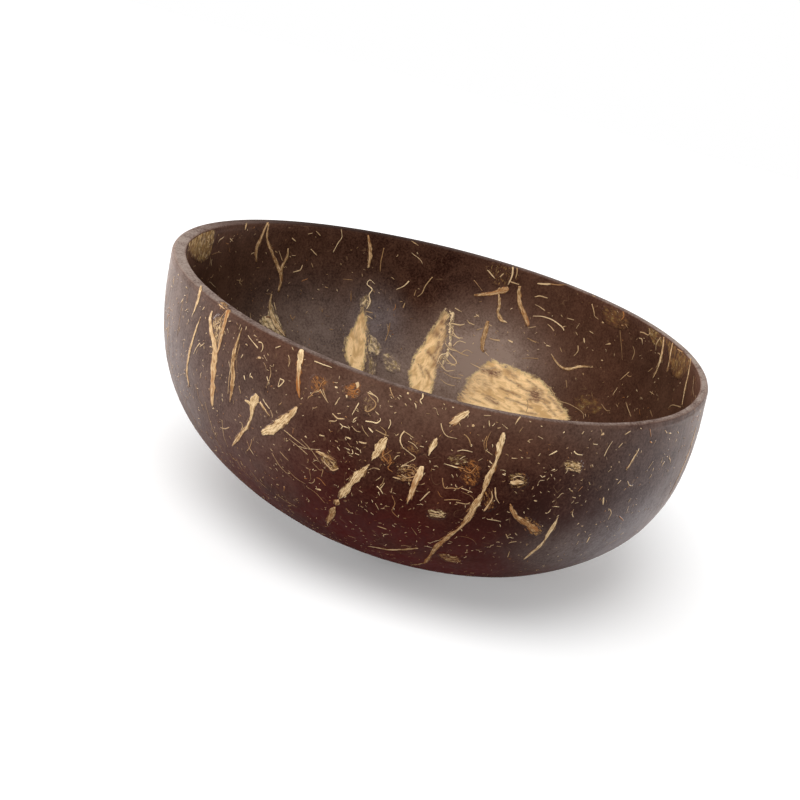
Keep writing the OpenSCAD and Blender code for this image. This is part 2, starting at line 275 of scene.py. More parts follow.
def turn_shell():
    """Spin the wall's section round, then push the turned form to the nut's own uneven shape.

    Each point keeps the tones of its place, and in cut how much of the sawn colour it has.
    """
    rows = shell_rows()
    bm = bmesh.new()
    row_of = bm.verts.layers.int.new("row")
    inside = bm.verts.layers.float.new("inside")
    cut = bm.verts.layers.float.new("cut")
    tones = [bm.verts.layers.float.new(name) for name in TONES]
    section = []
    for i, row in enumerate(rows):
        r, z = row_rz(row, 0.0)
        v = bm.verts.new((r, 0.0, z))
        v[row_of] = i
        section.append(v)
    edges = [bm.edges.new(pair) for pair in zip(section, section[1:])]
    bmesh.ops.spin(bm, geom=section + edges, cent=(0, 0, 0), axis=(0, 0, 1), angle=2 * math.pi,
                   steps=AROUND, use_merge=True, use_duplicate=False)
    for v in bm.verts:
        az = math.atan2(v.co.y, v.co.x)
        row = rows[v[row_of]]
        v.co = placed(az, *row_rz(row, az))
        inner = row[0] in ("inner", "lip_in")
        v[inside] = 1.0 if inner else 0.0
        v[cut] = {"flat": 1.0, "cut": 1.0, "lip_in": 0.9 * (1 - row[1])}.get(row[0], 0.0)
        if row[0] == "lip_out":
            v[cut] = max(row[1] - 0.5, 0.0) / 0.5
        for layer, tone in zip(tones, face_tone(inner, math.degrees(az), v.co.z / BOWL_HEIGHT)):
            v[layer] = tone
        if v[cut] > CUT_SHOWS:
            v[tones[0]] = rim_tone(math.degrees(az)) if v.co.z > 1 else FLAT_TONE
    bmesh.ops.remove_doubles(bm, verts=bm.verts[:], dist=1e-4)
    bmesh.ops.recalc_face_normals(bm, faces=bm.faces[:])
    bm.normal_update()
    # The spin leaves points and faces in a chance order, and what is laid on them has to come out the same each
    # run, so they are put in order by row and then by azimuth
    bm.verts.sort(key=lambda v: v[row_of] * 10 + math.atan2(v.co.y, v.co.x))
    bm.verts.index_update()
    bm.faces.sort(key=lambda f: min(v[row_of] for v in f.verts) * 10 + math.atan2(*f.calc_center_median().yx))
    bm.faces.index_update()
    return bm


def face_trees(bm):
    """Search trees of the outer and the inner face, which everything on the shell is laid with."""
    layer = bm.verts.layers.float["inside"]
    bm.verts.ensure_lookup_table()
    points = [v.co.copy() for v in bm.verts]
    out, inn = [], []
    for f in bm.faces:
        corners = [v.index for v in f.verts]
        inner = all(v[layer] > 0.5 for v in f.verts)
        (inn if inner else out).append(corners)
    return BVHTree.FromPolygons(points, out), BVHTree.FromPolygons(points, inn)


def finish_piece(bm, name, material, replaced=()):
    """Bring a finished bmesh to metres, make it a piece of the bowl, and hide the model.glb nodes it stands for."""
    bmesh.ops.scale(bm, vec=(MM, MM, MM), verts=bm.verts[:])
    mesh = bpy.data.meshes.new(name)
    bm.to_mesh(mesh)
    bm.free()
    mesh.polygons.foreach_set("use_smooth", [True] * len(mesh.polygons))
    mesh.materials.append(material)
    piece = bpy.data.objects.new(name, mesh)
    bpy.context.scene.collection.objects.link(piece)
    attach(piece, "root")
    if replaced:
        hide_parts(*replaced)


# ---------------------------------------------------------------- the photograph's camera
FOCAL_PX = 1500.0
ELEVATION = math.radians(19.06)
ROLL = math.radians(14.96)
EYE = Vector((-5.55, -368.7, BOWL_HEIGHT + 100.5))
FRAME_PX = 800.0
SENSOR = 36.0


def camera_axes():
    back = Vector((0, -math.cos(ELEVATION), math.sin(ELEVATION)))
    level = Vector((1, 0, 0))
    up = back.cross(level)
    right = level * math.cos(ROLL) + up * math.sin(ROLL)
    top = level * -math.sin(ROLL) + up * math.cos(ROLL)
    return right, top, back


def sight_line(px, py):
    """Direction from the eye through a place in the photograph, in pixels of its 800 by 800 frame."""
    right, top, back = camera_axes()
    x = (px - FRAME_PX / 2) / FOCAL_PX
    y = (FRAME_PX / 2 - py) / FOCAL_PX
    return (right * x + top * y - back).normalized()


def place_camera():
    right, top, back = camera_axes()
    lens = bpy.data.cameras.new("photo_camera")
    lens.sensor_width = SENSOR
    lens.lens = FOCAL_PX / FRAME_PX * SENSOR
    lens.clip_start = 0.01
    camera = bpy.data.objects.new("photo_camera", lens)
    turn = Matrix((right, top, back)).transposed().to_4x4()
    camera.matrix_world = Matrix.Translation(EYE * MM) @ turn
    bpy.context.scene.collection.objects.link(camera)
    bpy.context.scene.camera = camera


# ---------------------------------------------------------------- fibres laid in the two faces
# What each point of a laid fibre knows: how far in from the fibre's edge it is, how far along it and to its side,
# the fibre's tone, rust, seed, bareness and dark marks, and the shell's tones under it, its painted sheen among them
LAYERS = ("edge", "run", "side", "tone", "rust", "seed", "bare", "dark", *TONES)
# Each laid thing's pattern starts somewhere else: this much further for a seed of one
SEED_SHIFT = 90.0
# A strip runs this far past its edge, where it shows the shell's own colour
MARGIN = 0.12
# Spacing of a strip's rows: pixels for strands and flecks that the photograph shows, millimetres for far strands
STRAND_ROW_PX = 2.2
FLECK_ROW_PX = 1.3
FAR_STRAND_ROW = 0.5


def on_face(tree, az_deg, share):
    """Nearest place of a face to an azimuth and a height share, with the face's normal there."""
    u = u_at(share * BOWL_HEIGHT)
    az = math.radians(az_deg)
    rz = outer_rz if tree is OUTER else inner_rz
    hit, normal, _, _ = tree.find_nearest(placed(az, *rz(az, u)))
    return hit, normal


def tone_under(tree, p):
    """The shell's tones at a place of a face, so that what is laid on it can end in them."""
    k = (BOWL_HEIGHT - p.z) / BOWL_HEIGHT
    az = math.atan2(p.y - LEAN[1] * k, p.x - LEAN[0] * k)
    return face_tone(tree is INNER, math.degrees(az), p.z / BOWL_HEIGHT)


# A pixel that misses its face is moved by steps until it meets it; a hit nearer than this is on the near wall
SEARCH_STEPS = 60
SEARCH_PX = 0.5
NEAR_WALL_Y = -20


def seen_at(tree, px, py):
    """Place of a face under a pixel of the photograph, below it past the far rim and above it past the near one."""
    for _ in range(SEARCH_STEPS):
        hit = tree.ray_cast(EYE, sight_line(px, py))[0]
        if hit is None:
            py += SEARCH_PX
        elif tree is INNER and hit.y < NEAR_WALL_Y:
            py -= SEARCH_PX
        else:
            return hit


def smooth_route(route, spacing, reach):
    """Evenly fine stations of a smooth curve through the route's own stations."""
    stations = []
    n = len(route) - 1
    for i in range(n):
        b, c = route[i], route[i + 1]
        a = route[i - 1] if i else 2 * b - c
        d = route[i + 2] if i + 2 <= n else 2 * c - b
        steps = max(round(reach(b, c) / spacing), 1)
        stations += [between(a, b, c, d, k / steps) for k in range(steps)]
    return stations + [route[-1]]


def fibre_bed():
    bm = bmesh.new()
    for name in LAYERS:
        bm.verts.layers.float.new(name)
    return bm


def lay_strip(bm, tree, line, halves, marks, stand, crown, across):
    """Lay one flat strip of fibre on a face: a grid whose rows follow the line, pressed to the face.

    It stands proud of the face by stand at its edges and by crown more in its middle. A mark that is a pair runs
    from its first value to its second along the strip.
    """
    n = len(line)
    grid = bmesh.ops.create_grid(bm, x_segments=n - 1, y_segments=across, size=1.0)
    layer = {name: bm.verts.layers.float[name] for name in LAYERS}
    frames, run = [], 0.0
    for i, p in enumerate(line):
        hit, normal, _, _ = tree.find_nearest(p)
        way = line[min(i + 1, n - 1)] - line[max(i - 1, 0)]
        run += (p - line[i - 1]).length if i else 0.0
        frames.append((hit, normal.cross(way).normalized(), run))
    for v in grid["verts"]:
        i = round((v.co.x + 1) / 2 * (n - 1))
        w = v.co.y
        hit, side, run = frames[i]
        half = halves[i][1] if w > 0 else halves[i][0]
        p = hit + side * w * (half + MARGIN)
        near, normal, _, _ = tree.find_nearest(p)
        v[layer["edge"]] = half - abs(w) * (half + MARGIN)
        v[layer["run"]] = run
        v[layer["side"]] = w * (half + MARGIN)
        f = i / (n - 1)
        for name, value in marks.items():
            v[layer[name]] = value[0] + (value[1] - value[0]) * f if isinstance(value, tuple) else value
        for name, tone in zip(TONES, tone_under(tree, near)):
            v[layer[name]] = tone
        v.co = near + normal * (stand + crown * (1 - w * w))


# A torn edge's wander: share of the breadth, and its length in millimetres
RAG_BROAD = (0.65, 1.7)
RAG_FINE = (0.5, 0.6)
LEAST_HALF = 0.03


def ragged_halves(line, widths, rag, chance):
    """Half widths on both sides of a line, each wandering on its own as torn fibre does."""
    seed = chance.uniform(0, 500)
    halves = []
    for p, width in zip(line, widths):
        pair = []
        for k in (0, 1):
            q = Vector((seed + k * 40, 0, 0)) + p
            wander = RAG_BROAD[0] * noise.noise(q / RAG_BROAD[1]) + RAG_FINE[0] * noise.noise(q / RAG_FINE[1])
            pair.append(max(width / 2 * (1 + rag * wander * 2), LEAST_HALF))
        halves.append(tuple(pair))
    return halves


def close_bed(bm, depth):
    """Close every laid strip and patch downwards into a thin solid."""
    bm.normal_update()
    sunk = {v: v.co - v.normal * depth for v in bm.verts}
    tops = bm.faces[:]
    ring = [e for e in bm.edges if e.is_boundary]
    low = bmesh.ops.duplicate(bm, geom=tops)
    for top, under in low["vert_map"].items():
        if top in sunk and isinstance(under, bmesh.types.BMVert):
            under.co = sunk[top]
    bmesh.ops.reverse_faces(bm, faces=[g for g in low["geom"] if isinstance(g, bmesh.types.BMFace)])
    pair = low["vert_map"]
    for e in ring:
        loop = e.link_loops[0]
        a, b = loop.vert, loop.link_loop_next.vert
        bm.faces.new((b, a, pair[a], pair[b]))


# Strands that the photograph shows: stations of (x, y, width) in its pixels, then tone, from 0, dark, to 1,
# cream, and rust at the two ends
OUTER_STRANDS = [
    ([(201, 286, 1.6), (199.4, 295, 3.4), (197.2, 303, 3.2), (193.6, 313, 1)], .85, (.1, .1)),
    ([(212.5, 311, 1.5), (210.4, 318, 3.6), (210.8, 328, 4.6), (212.8, 338, 5.6), (215, 350, 7), (214.5, 358, 7.6),
      (213.6, 368, 7), (213.4, 378, 6.4), (212.8, 388, 6), (212, 397, 5), (212.5, 406, 2.4)], .9, (.15, .6)),
    ([(228.4, 310, 3.8), (226.6, 316, 5), (224, 326, 3.6), (221.4, 336, 3.2), (219, 347, 3), (217, 354, 2)],
     .8, (.6, .3)),
    ([(201, 317, 1), (197, 327, 2), (192, 343, 2.8), (188.5, 358, 3), (187, 373, 2.4), (189.5, 387, 1)],
     .75, (.1, .2)),
    ([(242, 328, 1), (238, 340, 2.4), (235, 350, 4), (233, 362, 5), (233, 373, 5.2), (232, 388, 4.4),
      (230, 402, 1.4)], .6, (.1, .2)),
    ([(301.4, 349.5, 3), (301.2, 353, 5.4), (300.4, 360, 5), (299, 367, 4.6), (298.4, 376, 4), (298.4, 387, 3.6),
      (299.6, 398, 1.6)], (1, .7), (-.5, 1.6)),
    ([(297, 407, 2), (293, 412, 5), (286, 418, 7), (278, 424.5, 7.6), (271, 429.5, 7.6), (266, 431.6, 6),
      (262, 433.6, 3)], .9, (.3, 0)),
    ([(257.5, 395, 5), (254.5, 400.5, 8.5), (252, 407, 5), (251.5, 416, 3), (247.5, 426, 2.8), (242, 433, 3.2),
      (236, 441, 2.8), (232.5, 446, 1.2)], .85, (0, .3)),
    ([(245, 400, 1.4), (249, 402.5, 2.6), (252, 405.5, 2.4)], .85, (0, .1)),
    ([(260, 402, 2.2), (264, 408, 2), (270, 416, 1)], .75, (.1, .2)),
    ([(387, 437.5, 2), (383.5, 441, 5), (380, 447.5, 7.4), (376, 454, 6), (373, 458.5, 2.4), (371.5, 461, .6)],
     .85, (0, .1)),
    ([(369.5, 464, 1), (365, 468.5, 4), (360, 474, 6), (356, 478.5, 6.8), (351.5, 483.5, 4), (348.5, 487, 5.4),
      (344, 492.5, 7), (340.8, 496.6, 3.6), (339.2, 498.8, .8)], .78, (0, .1)),
    ([(338.6, 499.6, 1.2), (337.3, 501.8, 6.6), (335.6, 505, 1.2)], .55, (.1, .4)),
    ([(335, 507, 1.2), (333.4, 510.5, 5), (330, 518, 4.2), (327, 523.5, 1.4)], .55, (.1, .4)),
    ([(422.2, 466, 3), (421.5, 470, 5.4), (419, 476, 6), (415.5, 483, 5.4), (412.5, 490, 4.2), (409.5, 497, 2.8),
      (407, 504, 1)], .95, (0, 1)),
    ([(503.5, 432.5, 2), (502.5, 438, 4.5), (500.5, 446, 5.2), (498.5, 453, 4.6), (496.8, 459, 2),
      (494.5, 465, 2.6), (491.5, 471, 4.4), (488.5, 477, 5), (485.5, 484.5, 4.8), (484, 489, 2.8),
      (482, 493.5, 2.4), (479, 498.5, 4.6), (475, 505, 5.8), (470.5, 513, 5.6), (466.5, 520, 4.6),
      (461.5, 526, 2.4), (456, 530.5, 2.8), (450, 535, 3.8), (444, 540, 4), (438, 546, 4.4), (433.5, 551, 3.4),
      (430, 555.5, 2.4), (427, 560, 3.4), (424, 563, 1.6)], (.92, .5), (0, .5)),
    ([(424.5, 562.5, 1.6), (418, 564, 1.6), (410, 565, .8)], .7, (.1, .1)),
    ([(469, 411, 2.4), (464.5, 414, 5), (459, 417.5, 5.6), (454.5, 421, 4.6), (449.5, 423.6, 2)], 1, (0, .75)),
    ([(436.8, 438, 1.5), (435, 442, 4.4), (432.5, 447, 4), (430.5, 451, 2.2), (428.5, 455.5, 1)], .85, (0, .1)),
    ([(558, 516.5, .8), (556.5, 520, 1.6), (554.5, 524, 4), (551.5, 529, 4.4), (547.5, 535, 2.8),
      (544, 540.5, 1.8), (540.5, 545, 2.8), (536, 549.5, 3.2), (530, 554, 2.6), (524, 559, 1.8)], .85, (0, .1)),
    ([(510, 504, 1.6), (511.5, 508, 3), (514, 513, 3.4), (517.5, 517.5, 3.6), (522, 520.5, 4), (528, 524, 5.5),
      (533, 528.5, 7), (538, 531, 3)], .5, (.35, .55)),
    ([(368, 546, 1), (378, 547.5, 1.8), (388, 549.5, 2.4), (398, 549.5, 2.4), (408, 549, 2.6), (418, 548, 1.2)],
     .75, (.1, .2)),
    ([(638.4, 450, 1.2), (634, 457, 1.8), (630, 464, 1.8), (625.8, 470, 1)], .85, (0, .1)),
    ([(510.5, 481.5, 2), (514.5, 482.4, 4.6), (519, 481.6, 5.2), (524, 482.4, 2)], .9, (.3, 0)),
    ([(316, 451, 1.6), (322.4, 454, 3.4), (330, 458, 2.6), (335, 460.6, 1)], .65, (.1, .3)),
]
INNER_STRANDS = [
    ([(268, 221.5, 2), (262.5, 234, 2.4), (258, 244.5, 3), (256, 252, 3.2), (256.6, 262, 1.4)], .75, (.2, .1)),
    ([(268.6, 224, 1.6), (267, 238, 2.2), (272, 253, 2.6), (277, 264, 3), (281, 275, 3.6), (280, 285, 2.6),
      (278, 292, 1.4)], .7, (.2, .2)),
    ([(288, 248.5, 1.2), (286.8, 257, 2.2), (282.5, 266, 2.8), (280.2, 274, 2.4)], .7, (.1, .1)),
    ([(368, 235, 1.6), (370, 247, 3), (370.2, 258, 3.2), (368, 268, 1.4)], .75, (.4, .1)),
    ([(508.5, 288.3, 2.4), (504, 290, 4.6), (496, 292.3, 3.4), (488, 294, 2.6), (474, 295, 1.4)], .75, (.7, .3)),
    ([(520, 286, 2.4), (519, 294, 3), (520, 304, 3.4), (524, 314, 3.4), (527, 321, 3), (527.8, 326.5, 1.2)],
     .75, (.1, .7)),
    ([(498.5, 294, 1.6), (499.5, 302, 2.4), (499, 308, 1.8), (497.5, 312, 1.6), (500, 318, 3), (503, 320.8, 2.2),
      (507, 322.5, 1)], .75, (.2, .1)),
    ([(488, 321, 2.6), (486, 330, 3.6), (483.5, 339, 3.4), (482, 347, 3), (484, 352, 1.6)], .55, (.1, .2)),
    ([(664, 337, 1.8), (663, 348, 2.2), (660, 362, 2.4), (656.5, 371, 2), (653, 378.5, 1.2)], 1, (.25, .1)),
    ([(691, 358, 2), (689, 372, 2.5), (685.2, 388, 2.6), (682, 406, 1.8)], 1, (.25, .1)),
    ([(673, 343, 1.8), (671, 352, 2.2), (669, 364, 2.2), (667, 372, 1.2)], .85, (.3, .2)),
    ([(551, 354, 1), (555, 360, 1.4), (560, 366, 1.8), (566, 369, 2.2), (574, 368, 2), (580, 366.5, 1.8),
      (593, 367.4, 1)], .75, (.1, .1)),
    ([(271.6, 294, 1.2), (270, 305, 2.4), (272.5, 317, 4), (278, 327, 4.4), (285.5, 336.5, 1.6)], 1, (0, 0)),
]

# Strands out of the photograph's sight, in the same form: stations of (azimuth, height share, width in mm)
FAR_OUTER_STRANDS = [
    ([(-20, .9, .4), (-21, .78, .9), (-24, .62, .4)], .7, (.2, .3)),
    ([(12, .95, .4), (10.4, .86, 1.2), (10.6, .8, .6), (11, .7, 1.1), (9.4, .61, .8), (8, .55, .3)], .8, (.1, .2)),
    ([(31, .8, .4), (32, .755, 1.5), (33.6, .7, 1.6), (37, .66, .4)], .9, (.3, .1)),
    ([(58, .96, .3), (56.4, .87, 1.0), (56, .82, .5), (57.6, .74, 1.3), (58, .68, .7), (56.4, .59, 1.2),
      (55, .52, .6), (52, .44, .9), (50, .38, .3)], .8, (.1, .2)),
    ([(84, .87, .5), (85.6, .8, 1.5), (86, .74, 1.3), (85, .66, .4)], .95, (0, .9)),
    ([(108, .93, .3), (106.6, .86, 1.0), (106, .8, .6), (107.8, .71, 1.2), (109, .65, .9), (107, .5, .3)],
     .75, (.1, .3)),
    ([(131, .72, .4), (128.6, .66, 1.5), (126.6, .6, 1.1), (124, .5, .3)], .75, (.5, .3)),
    ([(152, .94, .3), (153.6, .84, 1.0), (154, .8, .6), (152, .7, 1.0), (151, .66, .6), (153, .5, .3)],
     .75, (.1, .1)),
    ([(176, .86, .4), (173.6, .77, 1.3), (173, .72, 1.2), (176, .6, .3)], .85, (.2, .4)),
]
FAR_INNER_STRANDS = [
    ([(-30, .93, .4), (-32, .86, .8), (-33, .8, 1.0), (-31, .66, .4)], .7, (.2, .2)),
    ([(-72, .9, .4), (-70.4, .82, 1.0), (-70, .76, .7), (-73, .6, .4)], .75, (.2, .5)),
    ([(-104, .84, .4), (-107, .78, 1.2), (-108, .74, 1.1), (-107, .64, .3)], .75, (.1, .2)),
    ([(-149, .92, .4), (-151, .84, 1.0), (-152, .78, .7), (-150, .62, .4)], .7, (.2, .1)),
]


# A strand's frayed margin takes this much more breadth than what shows of it. Where it is worn bare the shell
# shows through
STRAND_SPREAD = 1.3
STRAND_RAG = 0.36
STRAND_BARE = 0.85
STRAND_DEPTH = 0.35
INNER_DIM = 0.82
# A loose thread's length in rows, its thickness, and how far from its strand it ends
THREAD_ROWS = (4, 10)
THREAD_THICK = (0.10, 0.20)
THREAD_LEAVES = 0.5


def pixels_apart(b, c):
    return math.hypot(c.x - b.x, c.y - b.y)


def face_apart(b, c):
    """Rough distance between two stations of (azimuth, height share)."""
    return math.hypot(math.radians(c.x - b.x) * RIM_R * 0.9, (c.y - b.y) * BOWL_HEIGHT)


def seen_line(tree, stations):
    """Places of a face under pixel stations, with each station's width turned to millimetres."""
    line, widths = [], []
    for s in stations:
        p = seen_at(tree, s.x, s.y)
        line.append(p)
        widths.append(STRAND_SPREAD * s.z * (p - EYE).length / FOCAL_PX)
    return line, widths


def lay_threads(bm, tree, line, widths, marks, chance):
    """Loose threads along a strand's two sides, each leaving it a little at one end."""
    n = len(line)
    for _ in range(max(n // 4, 1)):
        first = chance.randrange(0, max(n - 5, 1))
        last = min(first + chance.randrange(*THREAD_ROWS), n - 1)
        side, leave = chance.choice((-1, 1)), chance.uniform(0.1, 0.9)
        points = []
        for k in range(first, last + 1):
            hit, normal, _, _ = tree.find_nearest(line[k])
            cross = normal.cross(line[min(k + 1, n - 1)] - line[max(k - 1, 0)]).normalized()
            f = (k - first) / max(last - first, 1)
            points.append(hit + cross * side * (widths[k] / 2 * 0.8 + THREAD_LEAVES * leave * f * f))
        thin = chance.uniform(*THREAD_THICK)
        girth = [thin * (0.4 + 0.6 * math.sin(math.pi * (0.1 + 0.8 * k / len(points)))) for k in range(len(points))]
        tone = sum(marks["tone"]) / 2 * chance.uniform(0.6, 1.0)
        own = {**marks, "tone": tone, "seed": chance.random(), "bare": 0.0}
        halves = ragged_halves(points, girth, 0.3, chance)
        lay_strip(bm, tree, points, halves, own, stand=0.02, crown=0.03, across=3)


def lay_strand(bm, tree, line, widths, tone, rust, chance):
    marks = {"tone": tone, "rust": rust, "seed": chance.random(), "bare": STRAND_BARE}
    halves = ragged_halves(line, widths, STRAND_RAG, chance)
    lay_strip(bm, tree, line, halves, marks, stand=0.02, crown=0.07, across=6)
    lay_threads(bm, tree, line, widths, marks, chance)


def lay_strands(tree, seen, far, chance):
    bm = fibre_bed()
    dim = INNER_DIM if tree is INNER else 1.0
    for route, tone, rust in seen:
        tone = tuple(t * dim for t in tone) if isinstance(tone, tuple) else (tone * dim, tone * dim)
        stations = smooth_route([Vector(s) for s in route], STRAND_ROW_PX, pixels_apart)
        line, widths = seen_line(tree, stations)
        lay_strand(bm, tree, line, widths, tone, rust, chance)
    for route, tone, rust in far:
        stations = smooth_route([Vector(s) for s in route], FAR_STRAND_ROW, face_apart)
        line = [on_face(tree, s.x, s.y)[0] for s in stations]
        lay_strand(bm, tree, line, [s.z for s in stations], (tone, tone), rust, chance)
    close_bed(bm, STRAND_DEPTH)
    return bm


# How deep in the shell the other laid things end
FLECK_DEPTH = 0.2
CURL_DEPTH = 0.25
SKIN_DEPTH = 0.3
STAIN_DEPTH = 0.2

